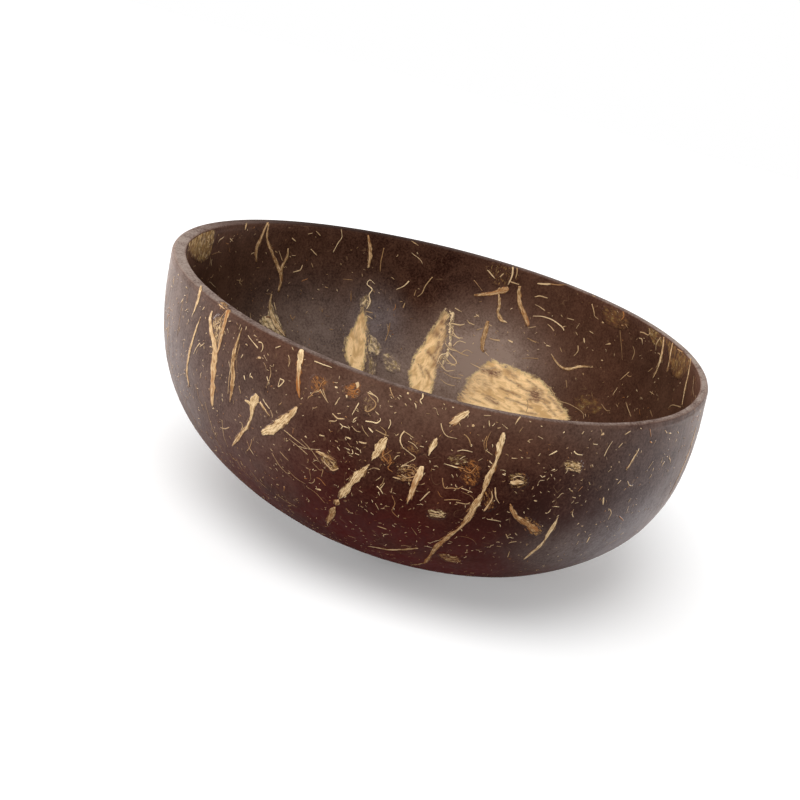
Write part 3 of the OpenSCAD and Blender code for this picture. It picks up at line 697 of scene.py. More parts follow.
# Flecks that the photograph shows: width in mm, tone, rust, and the fleck's pixels
OUTER_FLECKS = [
    (.22, .65, .1, [(284, 430), (295, 439), (308, 449)]), (.2, .6, .1, [(301, 439), (312, 451), (321, 464)]),
    (.17, .5, .2, [(272, 453), (280, 466), (292, 478)]), (.17, .5, .2, [(288, 470), (296, 478), (306, 484)]),
    (.16, .5, .1, [(222, 420), (224, 436), (228, 447)]),
    (.16, .5, 0, [(205, 402), (210, 420), (217, 440), (223, 452)]),
    (.22, .6, .3, [(169.5, 316), (169, 330), (170, 346)]), (.2, .5, .2, [(168.8, 350), (170.5, 362), (173, 374)]),
    (.17, .5, .1, [(196, 384), (199, 398), (204, 410)]), (.17, .45, .1, [(182, 392), (188, 408), (196, 422)]),
    (.2, .55, .2, [(236, 352), (231, 366), (229, 380), (228, 394)]),
    (.16, .5, .2, [(240, 344), (237, 356), (237, 370)]),
    (.3, .7, 0, [(263, 399), (266, 404), (270, 409)]), (.16, .5, .3, [(306, 486), (316, 493), (325, 503)]),
    (.16, .45, .2, [(250, 470), (258, 480), (268, 489)]), (.15, .45, .2, [(236, 458), (243, 470), (252, 479)]),
    (.16, .5, .2, [(276, 494), (286, 501), (297, 507)]), (.24, .5, .5, [(247, 440), (249, 446), (251, 450)]),
    (.24, .5, .4, [(252, 440), (250, 447), (247, 451)]), (.18, .5, .1, [(183, 300), (180, 318), (177, 336)]),
    (.24, .8, 0, [(316, 361.5), (322, 364), (332, 367.5)]), (.4, .85, 0, [(314.5, 361), (318.5, 362.5)]),
    (.16, .5, .2, [(288, 358), (289, 362), (289, 367)]), (.3, .3, .8, [(319, 389), (316, 383), (313, 378)]),
    (.3, .4, .7, [(319.5, 388), (322, 383), (325.5, 380)]), (.25, .5, .5, [(318, 390), (313, 393), (310, 397)]),
    (.22, .8, .1, [(320.5, 390), (324.5, 397), (328.5, 403)]), (.2, .7, .2, [(323, 389), (324.5, 394), (327, 400)]),
    (.25, .3, .7, [(319, 388), (317.5, 384), (317, 380)]), (.55, .85, .1, [(335, 387), (337.5, 388)]),
    (.45, .5, .9, [(347, 388), (352, 391), (359, 389)]), (.4, .4, 1, [(353, 397.5), (355, 391.5), (359, 387)]),
    (.3, .4, .9, [(349, 392.5), (352, 396), (355, 398)]),
    (1.1, .95, .2, [(356.5, 382.5), (357.8, 385.5), (357, 388.5)]),
    (.5, .9, 0, [(346.5, 395), (347, 398)]), (.24, .8, 0, [(340, 397.5), (338, 400), (335, 405)]),
    (.3, .8, 0, [(347, 406), (349, 406.5)]),
    (.35, .55, .2, [(366.5, 391.5), (370.5, 397), (375.5, 402.5), (374.5, 407.5), (368, 411.5), (365, 410)]),
    (.24, .7, .1, [(369.5, 391), (374, 395), (377.5, 398), (378, 402.5)]),
    (.3, .9, 0, [(359, 403), (356.5, 407), (352, 415)]), (.3, .8, .4, [(390, 387.5), (391.5, 393), (394, 398)]),
    (.2, .8, 0, [(397.5, 397), (400, 399.5)]), (.2, .8, 0, [(405, 403.5), (407, 406)]),
    (.6, 1, 0, [(407, 393), (409, 393.5)]), (.35, 1, 0, [(423, 393.5), (422.5, 398), (420, 400), (422, 404)]),
    (.3, .85, 0, [(452.5, 407), (454, 407.5)]), (.2, .6, 0, [(443.5, 403.5), (445, 405)]),
    (.75, .9, .35, [(472, 425.5), (475, 425.5)]), (.35, .8, .3, [(467, 426), (468.5, 426)]),
    (.2, .7, 0, [(484, 415.5), (491, 415.5)]), (.25, .75, 0, [(489, 420.5), (489.5, 426.5)]),
    (.38, .95, .1, [(520.5, 416.5), (517.5, 420.5), (515, 424.5)]), (.16, .5, 0, [(502, 424), (508, 429)]),
    (.22, .75, .1, [(441, 423.5), (442.5, 430), (447, 436), (457, 438.5)]),
    (.36, .9, .1, [(404.5, 431), (401, 436), (400.5, 442), (403, 447.5)]),
    (.22, .6, .1, [(404.5, 431.5), (408.5, 434), (413.5, 438)]),
    (.2, .8, .1, [(403, 447.5), (410, 453), (415.5, 458), (408, 462.5), (401, 466)]),
    (.34, 1, 0, [(365.5, 421), (372.5, 422), (377, 423), (380.5, 420), (380, 418)]),
    (.22, .9, 0, [(375.5, 411.5), (379, 415)]), (.42, 1, 0, [(368.5, 427.5), (373, 432.5)]),
    (.24, .85, 0, [(390, 419.5), (390.5, 424), (388, 429)]),
    (.42, .9, .1, [(332.5, 413.5), (337.5, 418), (344.5, 419)]), (.22, .8, 0, [(340, 423.5), (343, 426), (349, 428)]),
    (.2, .7, 0, [(343, 426), (341, 429)]), (.26, .85, 0, [(357, 417), (354, 419.5), (353, 422.5), (356, 420.5)]),
    (.2, .5, .1, [(352, 426), (356, 430.5), (360.5, 432)]),
    (.2, .55, .1, [(362, 425.5), (364, 430.5), (368.5, 436.5)]),
    (.2, .6, .1, [(376, 430), (382.5, 433.5), (389, 436)]), (.22, .5, .1, [(380, 426), (386, 432), (384, 438)]),
    (.35, .9, 0, [(319.5, 435), (324.5, 436)]), (.4, .8, 0, [(305, 436), (307, 438)]),
    (.4, .95, 0, [(346, 437), (351, 439)]), (.42, .8, .1, [(359, 441.5), (363, 443), (366.5, 443)]),
    (.2, .7, 0, [(337.5, 447), (340, 450.5)]), (.2, .8, 0, [(344.5, 447.5), (350, 450)]),
    (.2, .8, 0, [(352, 449.5), (353, 453), (351, 454)]), (.2, .8, 0, [(356, 447.5), (359, 450)]),
    (.18, .8, 0, [(360, 449.5), (361, 453)]), (.18, .7, 0, [(347, 451.5), (350.5, 454)]),
    (.18, .8, 0, [(355, 453), (359, 455)]), (.18, .6, 0, [(349, 455), (352.5, 456.5)]),
    (.5, .35, .75, [(383.5, 450), (383, 456), (388.5, 462.5)]), (.2, .45, .4, [(392, 450), (386, 454), (380, 458)]),
    (.45, .6, .25, [(321, 459), (328, 466), (332.5, 470), (338.5, 468.5)]),
    (.25, .7, .1, [(323, 454), (325, 462), (330, 468)]), (.18, .6, .15, [(289, 439), (298, 446), (307.5, 454.5)]),
    (.18, .6, .15, [(312, 462), (320, 470), (323, 469.5), (321.5, 476.5)]),
    (.22, .65, .2, [(280, 451.5), (284, 456), (288.5, 460.5)]), (.55, .85, .1, [(315.5, 488.5), (321, 490)]),
    (.4, .95, 0, [(377, 486), (380, 489), (383, 494)]), (.28, .85, 0, [(380, 489), (384.5, 483)]),
    (.22, .6, .6, [(392, 495.5), (395, 503.5), (392, 510.5), (397.5, 517)]),
    (.16, .6, .1, [(375.5, 503.5), (379, 510)]),
    (.42, .6, .5, [(408, 465), (414.5, 468), (418, 474), (412, 477), (405.5, 478)]),
    (.3, .5, .6, [(406, 469.5), (412.5, 470), (415, 474.5)]), (.42, .9, .3, [(393, 477), (400.5, 479)]),
    (.3, .8, .2, [(401, 466.5), (406, 465), (410.5, 467)]), (.28, .7, .3, [(401.5, 474.5), (408, 478.5)]),
    (.34, .95, .1, [(444, 463.5), (452, 466), (458, 467.5)]), (.34, .7, .8, [(457, 467), (465, 469)]),
    (.24, .75, .1, [(457.5, 451), (464, 450), (472.5, 452)]), (.3, .5, .8, [(463.5, 470), (470, 472.5), (477, 466)]),
    (.26, .7, .5, [(442.5, 478), (443, 483), (445, 488), (452, 488), (458, 488.5), (463, 486)]),
    (.24, .7, .3, [(461.5, 488), (472.5, 492.5)]), (.2, .6, 0, [(485.5, 450), (492.5, 455)]),
    (.22, .3, .3, [(491, 431.5), (487, 440), (486, 448.5)]),
    (.34, .8, .45, [(495, 487.5), (496, 497.5), (499.5, 503.5)]),
    (.55, .6, .5, [(491.5, 491.5), (492, 498.5), (486.5, 507.5), (484, 511)]),
    (.28, .7, 0, [(487, 519), (494, 520), (501, 521.5)]), (.5, .75, .1, [(429.5, 513), (438, 515), (443.5, 516)]),
    (.45, .75, .2, [(377.5, 526), (386.5, 529)]), (.16, .6, .2, [(411.5, 527.5), (417, 535)]),
    (.4, .5, .6, [(441.5, 557), (450, 558.5), (458.5, 560), (455, 562)]), (.2, .7, 0, [(420, 503.5), (423, 505)]),
    (.2, .6, .1, [(425.5, 526), (429, 527)]), (.3, .7, .1, [(345.5, 526), (347, 526.5)]),
    (.3, .7, .1, [(355.5, 525), (357, 525.5)]), (.35, .6, .4, [(325, 526), (327, 526.5)]),
    (.3, .8, 0, [(502.5, 474), (505.5, 475)]), (.3, .3, .7, [(392, 462), (388, 468), (393, 472)]),
    (.2, .6, .2, [(400, 499), (402.5, 500.5)]), (.18, .6, .2, [(408, 510), (411, 508.5)]),
    (.2, .6, .1, [(384, 478), (382.5, 483), (379.5, 486.5)]), (.25, .5, .5, [(444, 500), (454, 499.5), (461, 500.5)]),
    (.25, .6, .3, [(456, 502), (466, 504), (470, 502.5)]), (.18, .5, .2, [(346, 480), (349, 478)]),
    (.22, .6, .2, [(368, 470), (374, 468), (380, 469.5)]), (.22, .7, 0, [(420, 446), (424, 447)]),
    (.2, .6, 0, [(408, 441), (413.5, 444), (418, 449)]), (.2, .7, 0, [(392, 488), (391, 493)]),
    (.2, .6, .1, [(359, 490), (362.5, 492.5)]), (.2, .7, .1, [(338, 442), (335, 440.5)]),
    (.2, .7, 0, [(312, 442), (315, 441)]), (.3, .95, .1, [(248, 335.5), (253, 342), (258, 348)]),
    (.3, .95, 0, [(258.5, 342), (262, 343), (263, 348), (261, 352)]), (.6, .8, .3, [(258, 357.5), (261, 357.5)]),
    (.16, .7, 0, [(241, 324.5), (239, 329.5)]), (.24, .8, 0, [(275.5, 348), (280.5, 346)]),
    (.2, .6, .2, [(288.5, 355), (290, 361), (288, 367.5)]), (.22, .7, 0, [(241, 358), (243, 354.5)]),
    (.3, .85, 0, [(280, 378.5), (284, 381), (278.5, 386.5), (280.5, 378)]), (.3, .85, 0, [(251, 376), (253, 378.5)]),
    (.35, .9, 0, [(244, 375.5), (245, 380)]), (.2, .6, .3, [(270, 367), (271, 373), (269, 380.5), (267, 385.5)]),
    (.3, .85, 0, [(368, 392.5), (376, 396)]), (.4, .8, .5, [(219, 304.5), (224.5, 309)]),
    (.35, .8, .6, [(223.5, 304), (220, 309)]), (.25, .7, 0, [(200, 343), (196, 348.5), (193.5, 354)]),
    (.2, .6, 0, [(204.5, 343), (200, 347)]), (.3, .75, .2, [(221, 322), (216, 324.5), (214.5, 329)]),
    (.3, .75, .3, [(224.5, 327), (220, 333), (218.5, 343)]), (.25, .6, .4, [(226, 311), (221, 319), (223.5, 327)]),
    (.22, .7, 0, [(229, 362), (230.5, 369), (229.5, 375)]),
    (.2, .7, 0, [(235.5, 355), (232, 362), (234.5, 370), (232, 381)]), (.2, .6, .1, [(180, 327), (178.5, 333)]),
    (.2, .6, .1, [(185, 311), (188, 309)]), (.22, .8, 0, [(186, 286.5), (187.5, 288.5)]),
    (.2, .7, 0, [(204.5, 307), (202.5, 310)]), (.16, .6, .1, [(264, 355), (266, 359)]),
    (.2, .7, .1, [(292, 347), (293.5, 350)]), (.2, .6, .2, [(254, 335), (257, 337)]),
    (.2, .7, .1, [(273.5, 323), (276, 324.5)]), (.35, .75, .2, [(167.5, 327), (168, 343), (169, 355)]),
    (.16, .5, 0, [(523, 427), (519, 432.5)]), (.3, .8, 0, [(529.5, 421), (531, 422)]),
    (.3, .7, 0, [(541, 426), (542.5, 426.5)]), (.4, .8, 0, [(563, 433), (564.5, 431.5)]),
    (.35, .85, 0, [(584, 431), (582, 434)]), (.65, .95, .25, [(601, 435), (604, 433.5)]),
    (.16, .7, .1, [(601, 429.5), (602, 433)]), (.3, .8, 0, [(630.5, 431), (625, 434.5)]),
    (.3, .8, 0, [(640.5, 428), (641.5, 429)]), (.28, .5, .8, [(650, 429), (651, 437)]),
    (.4, .6, .9, [(650, 441.5), (652, 442.5)]), (.24, .75, 0, [(612.5, 441), (608, 448), (604, 456)]),
    (.26, .8, 0, [(593, 444), (597.5, 444.5)]), (.28, .8, 0, [(622.5, 443), (618.5, 447.5)]),
    (.4, .9, 0, [(639, 448.5), (638, 451)]), (.28, .85, 0, [(557, 451), (549, 455)]),
    (.3, .85, 0, [(574, 451), (577, 454), (582.5, 455)]), (.22, .7, .1, [(511.5, 458), (517.5, 458.5)]),
    (.25, .7, 0, [(521, 457), (523, 458)]), (.22, .3, .3, [(487, 436), (484, 443.5), (485, 450.5)]),
    (.35, .7, .3, [(513, 478), (518, 476), (523, 477.5)]), (.3, .6, .4, [(513.5, 479.5), (512, 482.5), (514.5, 485)]),
    (.3, .8, 0, [(551.5, 470.5), (555, 469)]), (.3, .75, 0, [(543, 477), (545, 476)]),
    (.25, .7, 0, [(504.5, 473), (505.5, 474)]), (.4, .9, .1, [(534, 500.5), (537, 501)]),
    (.2, .6, 0, [(527, 508), (529, 509)]), (.26, .8, 0, [(573, 511.5), (572, 514), (573.5, 517)]),
    (.5, .7, 0, [(603.5, 497.5), (603, 504.5)]), (.24, .75, 0, [(610, 509.5), (611, 513), (608, 519.5)]),
    (.5, .8, 0, [(589.5, 537), (586.5, 542.5)]), (.35, .6, .3, [(581, 526), (583, 526)]),
    (.22, .7, 0, [(621, 480), (617.5, 484)]), (.2, .6, 0, [(653, 461.5), (648, 468.5)]),
    (.2, .7, 0, [(651.5, 474.5), (649, 478.5)]), (.2, .6, 0, [(631, 498), (628, 502.5)]),
    (.2, .6, 0, [(662.5, 457.5), (661, 463)]), (.3, .7, 0, [(677.5, 431.5), (678.5, 433)]),
    (.3, .7, 0, [(669, 433), (671, 433.5)]), (.25, .7, 0, [(665, 430.5), (667, 433)]),
    (.2, .6, 0, [(687, 455), (685, 457.5)]), (.2, .6, 0, [(579, 533), (577, 536)]),
    (.18, .6, 0, [(578.5, 541), (576.5, 544.5)]), (.2, .7, 0, [(556.5, 517), (558.5, 515)]),
    (.2, .5, 0, [(592, 464.5), (593, 467)]), (.2, .6, 0, [(589, 482), (590, 485)]),
    (.2, .6, 0, [(601, 486), (599.5, 488.5)]), (.2, .6, 0, [(572.5, 497), (575.5, 498)]),
    (.2, .6, 0, [(540, 491.5), (541.5, 493)]), (.2, .6, .1, [(552, 502), (554.5, 500.5)]),
    (.2, .6, 0, [(528, 441), (530, 442.5)]), (.18, .6, 0, [(538, 436), (543, 439)]),
    (.2, .6, 0, [(644, 511), (646.5, 507.5)]), (.2, .6, 0, [(618, 531), (620.5, 528)]),
    (.18, .5, 0, [(656, 440), (654, 443.5)]), (.18, .5, 0, [(608, 472), (610.5, 469.5)]),
    (.24, .7, .1, [(506, 534), (508, 538.5)]), (.2, .6, .1, [(497, 546), (501, 546.5)]),
    (.2, .6, .1, [(509.5, 551.5), (507.5, 557)]), (.22, .7, .1, [(515, 533), (517, 535)]),
]
INNER_FLECKS = [
    (.3, .85, 0, [(449, 352.8), (456.5, 362.5), (450, 366)]), (.28, .8, 0, [(444, 356), (451.5, 364), (457, 363.5)]),
    (.3, .85, 0, [(437, 363), (440.5, 355.5), (446, 353.5)]), (.24, .75, 0, [(452, 331), (457, 337), (463, 338)]),
    (.22, .7, 0, [(453, 346), (459, 341), (466, 343)]), (.24, .7, 0, [(443, 372), (452, 377), (461, 378.5)]),
    (.2, .7, 0, [(440, 379), (447, 384), (455, 386)]), (.22, .65, 0, [(461, 353), (467, 350), (473, 353)]),
    (.2, .6, 0, [(476, 330), (483, 328)]), (.2, .6, 0, [(486, 323), (492, 326)]),
    (.28, .8, 0, [(447, 324), (453, 329), (452, 335)]), (.26, .8, 0, [(445, 343), (450, 349), (457, 351)]),
    (.24, .75, 0, [(441, 366), (447, 371), (455, 370)]), (.2, .6, 0, [(455, 308), (462, 312)]),
    (.55, .75, .1, [(246.5, 223), (245, 230)]), (.3, .7, .1, [(230, 238.5), (233, 241.5)]),
    (.2, .7, .1, [(233, 238), (230, 242)]), (.3, .75, 0, [(292, 238), (296, 241.5)]),
    (.28, .6, .1, [(311, 249), (317, 255.5)]), (.22, .7, 0, [(341, 229), (342, 237), (338, 243), (333, 252.5)]),
    (.3, .55, .2, [(384, 248), (381, 261), (380, 272)]), (.3, .7, .1, [(302.5, 265), (300, 270), (293, 272)]),
    (.22, .6, .1, [(316, 231), (320.5, 235.5)]), (.24, .65, .1, [(240.5, 278.5), (239.5, 282), (242, 285.5)]),
    (.2, .6, .1, [(236.5, 280), (242.5, 281.5)]), (.3, .65, .1, [(274, 302.5), (276, 310.5)]),
    (.34, .85, 0, [(375, 284), (370, 280), (367, 284), (372, 289), (369, 295), (370, 302), (366.5, 309)]),
    (.26, .75, 0, [(409, 281), (404, 286), (396, 289.5)]), (.32, .65, .1, [(405, 303), (403, 308)]),
    (.22, .35, .3, [(351, 290.5), (351, 301.5)]), (.24, .4, .2, [(390, 323), (388.5, 331), (386, 339.5)]),
    (.3, .5, .2, [(290, 315), (292.5, 319), (295, 316)]), (.2, .5, .2, [(250, 313), (251, 321)]),
    (.22, .6, .2, [(411.5, 241), (418.5, 245.5)]), (.18, .5, .2, [(343, 279), (353, 280)]),
    (.2, .6, .1, [(311.5, 263), (313, 267.5)]), (.2, .6, .1, [(308, 234), (312.5, 233)]),
    (.2, .6, .1, [(391.5, 277), (394.5, 279.5)]), (.2, .5, .3, [(325, 287), (328.5, 288)]),
    (.2, .55, .1, [(282.5, 261), (279, 251)]), (.2, .6, .1, [(275, 251), (278, 253)]),
    (.3, .6, .1, [(432.5, 277), (426, 285), (422, 293), (417, 297)]), (.34, .75, .1, [(487.5, 270), (495, 278.5)]),
    (.3, .7, .1, [(500, 277), (503.5, 273.5)]), (.2, .5, .5, [(474, 280), (482.5, 291)]),
    (.36, .85, 0, [(450, 323), (460, 325), (464.5, 324)]), (.22, .7, 0, [(468, 322), (474.5, 325)]),
    (.28, .7, 0, [(448, 346), (456, 350.5), (462, 354), (468.5, 356)]),
    (.26, .7, 0, [(446, 363), (451, 364), (455.5, 366)]),
    (.3, .65, .1, [(470, 363), (476, 366), (484, 369), (496.5, 367.5)]),
    (.18, .5, .2, [(544, 382), (552, 390.5), (558, 400), (570, 404.5), (582, 412), (584, 419)]),
    (.2, .6, 0, [(450, 334), (460, 339)]), (.2, .7, 0, [(473, 334.5), (475, 336)]),
    (.22, .6, .1, [(479, 315), (474, 317)]), (.2, .5, .1, [(387, 324), (388, 332.5), (385, 341)]),
    (.3, .7, 0, [(365, 311), (373, 313)]), (.24, .7, 0, [(366.5, 315), (372.5, 319)]),
    (.22, .7, 0, [(367, 300), (370.5, 303)]), (.2, .6, 0, [(361, 308), (360, 313)]),
    (.24, .6, 0, [(438, 360), (441, 364), (444.5, 368.5)]), (.2, .6, .1, [(458, 374), (463.5, 376)]),
    (.2, .7, .1, [(479, 317), (476, 314)]), (.2, .6, 0, [(470, 324), (467, 320)]),
    (.2, .55, 0, [(490, 339), (500, 341)]), (.3, .9, 0, [(508, 340), (513, 342)]),
    (.16, .5, .1, [(522, 358.5), (530, 358), (538.5, 359)]), (.2, .6, 0, [(530, 340), (536, 342.5)]),
    (.2, .5, .2, [(416, 290), (414, 296)]), (.5, .8, .15, [(513, 267), (512, 276), (508, 285)]),
    (.34, .7, .3, [(517, 267), (517, 273), (515.5, 278.5)]), (.3, .7, .2, [(508.5, 281), (519, 284.5)]),
    (.5, .85, .1, [(537.5, 283.5), (544, 284), (550.5, 284)]), (.3, .6, .6, [(550.5, 284), (559, 285), (567, 284.5)]),
    (.34, .85, .1, [(534.5, 297), (540, 296), (547.5, 298)]), (.26, .7, .1, [(535, 304.5), (540, 307), (545, 310.5)]),
    (.36, .8, .1, [(533, 316), (542.5, 316.5), (552.5, 320), (562, 327), (564, 330.5)]),
    (.24, .7, .1, [(547.5, 324), (551, 327), (554, 331)]), (.22, .7, .1, [(561.5, 327.5), (565.5, 326)]),
    (.28, .7, .2, [(592, 304), (594, 311.5), (595, 316.5), (598.5, 319)]), (.5, .75, .3, [(602, 322), (604, 323)]),
    (.45, .5, .8, [(623, 311.5), (624, 316), (621, 320.5)]), (.4, .7, .3, [(621.5, 325), (623.5, 325.5)]),
    (.28, .75, .1, [(640, 332), (644.5, 333), (648.5, 335), (650, 331.5), (649, 328)]),
    (.28, .8, .1, [(639, 338), (642, 339), (642.5, 344.5)]), (.34, .7, .1, [(584, 338), (584.5, 343)]),
    (.36, .7, .2, [(605.5, 344.5), (610.5, 343.5)]), (.26, .7, .2, [(578, 345.5), (578, 351), (574, 356)]),
    (.22, .6, .1, [(589.5, 331), (593.5, 333.5)]), (.24, .7, .1, [(489, 338), (494, 339.5), (500, 340)]),
    (.34, .85, 0, [(509, 340.5), (512.5, 342.5)]), (.16, .5, .1, [(527, 338), (534, 341), (539, 343)]),
    (.26, .7, .1, [(546, 345), (550.5, 346.5)]), (.2, .6, .1, [(485, 352), (489, 356.5)]),
    (.24, .6, .1, [(660.5, 337.5), (656.5, 344), (656, 350.5)]),
    (.22, .65, .1, [(694, 376), (693, 388), (694, 396.5)]), (.4, .7, .6, [(677.5, 349), (682.5, 352)]),
    (.22, .6, .3, [(626, 402), (628, 408.5), (631, 416.5)]),
    (.24, .7, .2, [(668, 408.5), (672.5, 405), (680.5, 407)]), (.2, .6, .3, [(650, 410), (652.5, 416.5)]),
    (.24, .6, .2, [(629, 372), (624, 376.5), (620, 380)]), (.2, .6, .2, [(650, 391.5), (654, 394.5)]),
    (.2, .6, .2, [(653, 391), (651.5, 395)]), (.2, .6, .1, [(560, 347.5), (562, 352)]),
    (.25, .6, .1, [(583, 373), (583.5, 375)]), (.25, .6, .1, [(601, 360), (603, 360.5)]),
    (.2, .6, .1, [(617.5, 387.5), (613, 394.5)]), (.2, .5, .2, [(620, 330), (622.5, 360)]),
    (.2, .6, .1, [(648, 372), (652.5, 368)]), (.2, .6, .1, [(567, 318), (574, 320)]),
    (.22, .6, .1, [(561, 314.5), (562.5, 317)]), (.2, .6, .1, [(528, 328), (536, 326.5)]),
    (.2, .5, .2, [(632, 360), (634.5, 352), (633, 346)]), (.25, .6, .2, [(656, 368), (660, 360)]),
    (.2, .6, .2, [(616, 404), (618, 407)]), (.2, .6, .2, [(601.5, 404), (606, 410), (610, 411)]),
    (.2, .5, .2, [(566, 380), (567, 388)]), (.18, .5, .2, [(592, 290), (596, 293)]),
    (.2, .6, .2, [(628, 328), (625.5, 324)]), (.2, .6, .2, [(575.5, 332), (577.5, 335)]),
]


# What a read fleck's tone and width are times, on the inner and on the outer face
INNER_FLECKS_SHOW = (0.95, 0.85)
OUTER_FLECKS_SHOW = (1.0, 0.66)


def lay_read_flecks(tree, table, chance):
    bm = fibre_bed()
    dim, breadth = INNER_FLECKS_SHOW if tree is INNER else OUTER_FLECKS_SHOW
    for width, tone, rust, pixels in table:
        taper = chance.uniform(-0.5, 0.5)
        stations = smooth_route([Vector((x, y, width)) for x, y in pixels], FLECK_ROW_PX, pixels_apart)
        line = [seen_at(tree, s.x, s.y) for s in stations]
        n = len(line) - 1
        widths = [width * breadth * (0.45 + 0.55 * math.sin(math.pi * (0.08 + 0.84 * i / n)) ** 0.5)
                  * (1 + taper * (2 * i / n - 1)) for i in range(n + 1)]
        halves = ragged_halves(line, widths, 0.38, chance)
        marks = {"tone": tone * chance.uniform(0.6, 1.08) * dim, "rust": rust, "seed": chance.random()}
        lay_strip(bm, tree, line, halves, marks, stand=0.015, crown=0.03, across=4)
    close_bed(bm, CURL_DEPTH)
    return bm


# Patches of inner skin as the photograph shows them: a pixel outline down to the near rim, then the rest,
# out of sight, by azimuth and height share; then two pixels along the skin's own streaks
SKIN_PATCHES = [
    ([(363, 307), (367, 320), (368.5, 333), (367, 348), (365, 361), (363, 371)],
     [(112.3, .26), (112.2, .2), (113.2, .15), (116, .13), (118, .18), (117.4, .26)],
     [(349.5, 367), (346.5, 360), (345, 350), (346, 340), (350.5, 331), (356, 321), (360, 312)],
     ((357, 366), (361, 316))),
    ([(444, 311), (449.5, 316), (447.5, 325), (448, 338), (446, 350), (441, 360), (438, 372), (433, 388)],
     [(89.2, .24), (89.3, .18), (91.4, .13), (95.4, .12), (98, .16), (97.8, .22)],
     [(409.5, 387), (409.5, 372), (413, 359), (419.5, 348), (427, 336), (434, 325), (440, 316)],
     ((415, 372), (438, 340))),
    ([(492, 361), (505, 365), (520, 371), (540, 380), (552, 392), (562, 405), (568.5, 417)],
     [(45.2, .35), (44, .29), (45.6, .22), (52, .17), (61, .13), (71, .12), (78.5, .15), (81.6, .21)],
     [(456, 401), (462, 389), (469, 378), (479, 368)],
     ((480, 375), (555, 405))),
]


# Darker marks in the patches: the patch, breadth in mm, strength (below nought: worn through), and its pixels
SKIN_MARKS = [
    (2, 1.3, 1.0, [(484, 370), (490, 372.5), (498, 373.5)]), (2, .5, .6, [(466, 364), (476, 367), (484, 368)]),
    (2, 1.9, 1.1, [(534, 393), (537, 396)]), (2, .8, .9, [(530, 399), (538, 401)]),
    (2, 2.6, .45, [(478, 379), (486, 384)]), (2, 1.8, .4, [(466, 387), (473, 390)]),
    (2, .35, .9, [(518, 386), (528, 391), (540, 397), (550, 403)]), (2, .4, .8, [(500, 388), (510, 392), (520, 397)]),
    (2, .35, .8, [(506, 398), (517, 402), (532, 408)]), (2, .7, .9, [(486, 398), (492, 401), (497, 403.5)]),
    (2, .4, .7, [(520, 411), (528, 413), (536, 414)]), (2, .35, .7, [(482, 394), (491, 397), (498, 402)]),
    (2, .35, .8, [(527, 380), (535, 386), (543, 392)]), (2, .4, .7, [(543, 402), (549, 408), (555, 415)]),
    (2, .4, .7, [(505, 377), (513, 382), (521, 385)]), (2, .4, .6, [(470, 398), (480, 402)]),
    (2, .8, .6, [(508, 371), (516, 377)]), (2, .5, .8, [(548, 395), (556, 404), (562, 412)]),
    (1, 1.3, .7, [(434, 332), (439, 336)]), (1, .7, .8, [(439, 342), (437, 350), (433, 358)]),
    (1, .9, .8, [(446, 336), (444, 346), (440, 353)]), (1, .6, .8, [(427, 351), (433, 357), (437, 363)]),
    (1, 1.2, .8, [(441, 321), (447, 325)]), (1, .8, .8, [(440, 329), (447, 333)]),
    (1, 1.0, .8, [(444, 313), (440, 318)]),
    (1, .5, .6, [(420, 366), (424, 376)]), (1, .5, .6, [(426, 370), (432, 380)]),
    (1, .9, .7, [(441, 360), (436, 374)]),
    (0, .6, .3, [(355, 331), (357, 342)]), (0, .7, .35, [(364, 318), (364, 332)]),
    (2, 3.4, .5, [(457, 399), (466, 381)]),
    (1, 2.6, .45, [(444, 310), (438, 322)]), (1, 1.6, .8, [(447, 340), (441, 356), (437, 366)]),
    (2, 3.4, -1.0, [(450, 404), (458, 384)]), (2, 2.2, -.7, [(462, 368), (478, 364)]),
    (1, 1.6, -.9, [(450, 320), (449, 336), (444, 352)]), (1, 1.4, -.9, [(441, 362), (436, 384)]),
    (0, .9, -.8, [(368, 322), (367, 350)]), (0, .8, -.6, [(358, 313), (349, 330)]),
]


def chart_of(points, tree, run_from, run_to):
    """A flat chart of a part of a face: its middle, its normal and two axes, the first along the streaks."""
    middle = sum(points, Vector()) / len(points)
    hit, normal, _, _ = tree.find_nearest(middle)
    way = run_to - run_from
    way = (way - normal * way.dot(normal)).normalized()
    return hit, normal, way, normal.cross(way)


def edge_distance(outline, x, y):
    """Distance in from a closed outline, negative outside it."""
    best, inside = 1e9, False
    for (x0, y0), (x1, y1) in zip(outline, outline[1:] + outline[:1]):
        dx, dy = x1 - x0, y1 - y0
        t = min(max(((x - x0) * dx + (y - y0) * dy) / (dx * dx + dy * dy + 1e-12), 0), 1)
        best = min(best, math.hypot(x - x0 - t * dx, y - y0 - t * dy))
        if (y0 > y) != (y1 > y) and x < (x1 - x0) * (y - y0) / (y1 - y0) + x0:
            inside = not inside
    return best if inside else -best


def line_distance(p, line):
    """Distance from a place to a line of places."""
    best = 1e9
    for a, b in zip(line, line[1:]):
        t = min(max((p - a).dot(b - a) / ((b - a).length_squared + 1e-9), 0.0), 1.0)
        best = min(best, (p - a - (b - a) * t).length)
    return best


# Edge distance of a patch's point that has no face of its own side under it
OFF = -99.0
# The parts of a patch's grid this far outside its outline are taken off
TRIM = -0.35
# The grid is pressed on from this far above the face, but only where the face lies nearly as the patch's middle
PRESS_FROM = 12
LEAST_ALIKE = 0.55
# A patch's edge wanders at this length along and across its streaks, and finely at the last one
EDGE_GRAIN = (2.6, 0.75)
EDGE_FINE = 0.8


def rounded(points):
    """A closed outline with its corners rounded off."""
    n = len(points)
    corners = [[points[(i + k) % n] for k in (-1, 0, 1, 2)] for i in range(n)]
    return [between(*four, k / 3) for four in corners for k in range(3)]


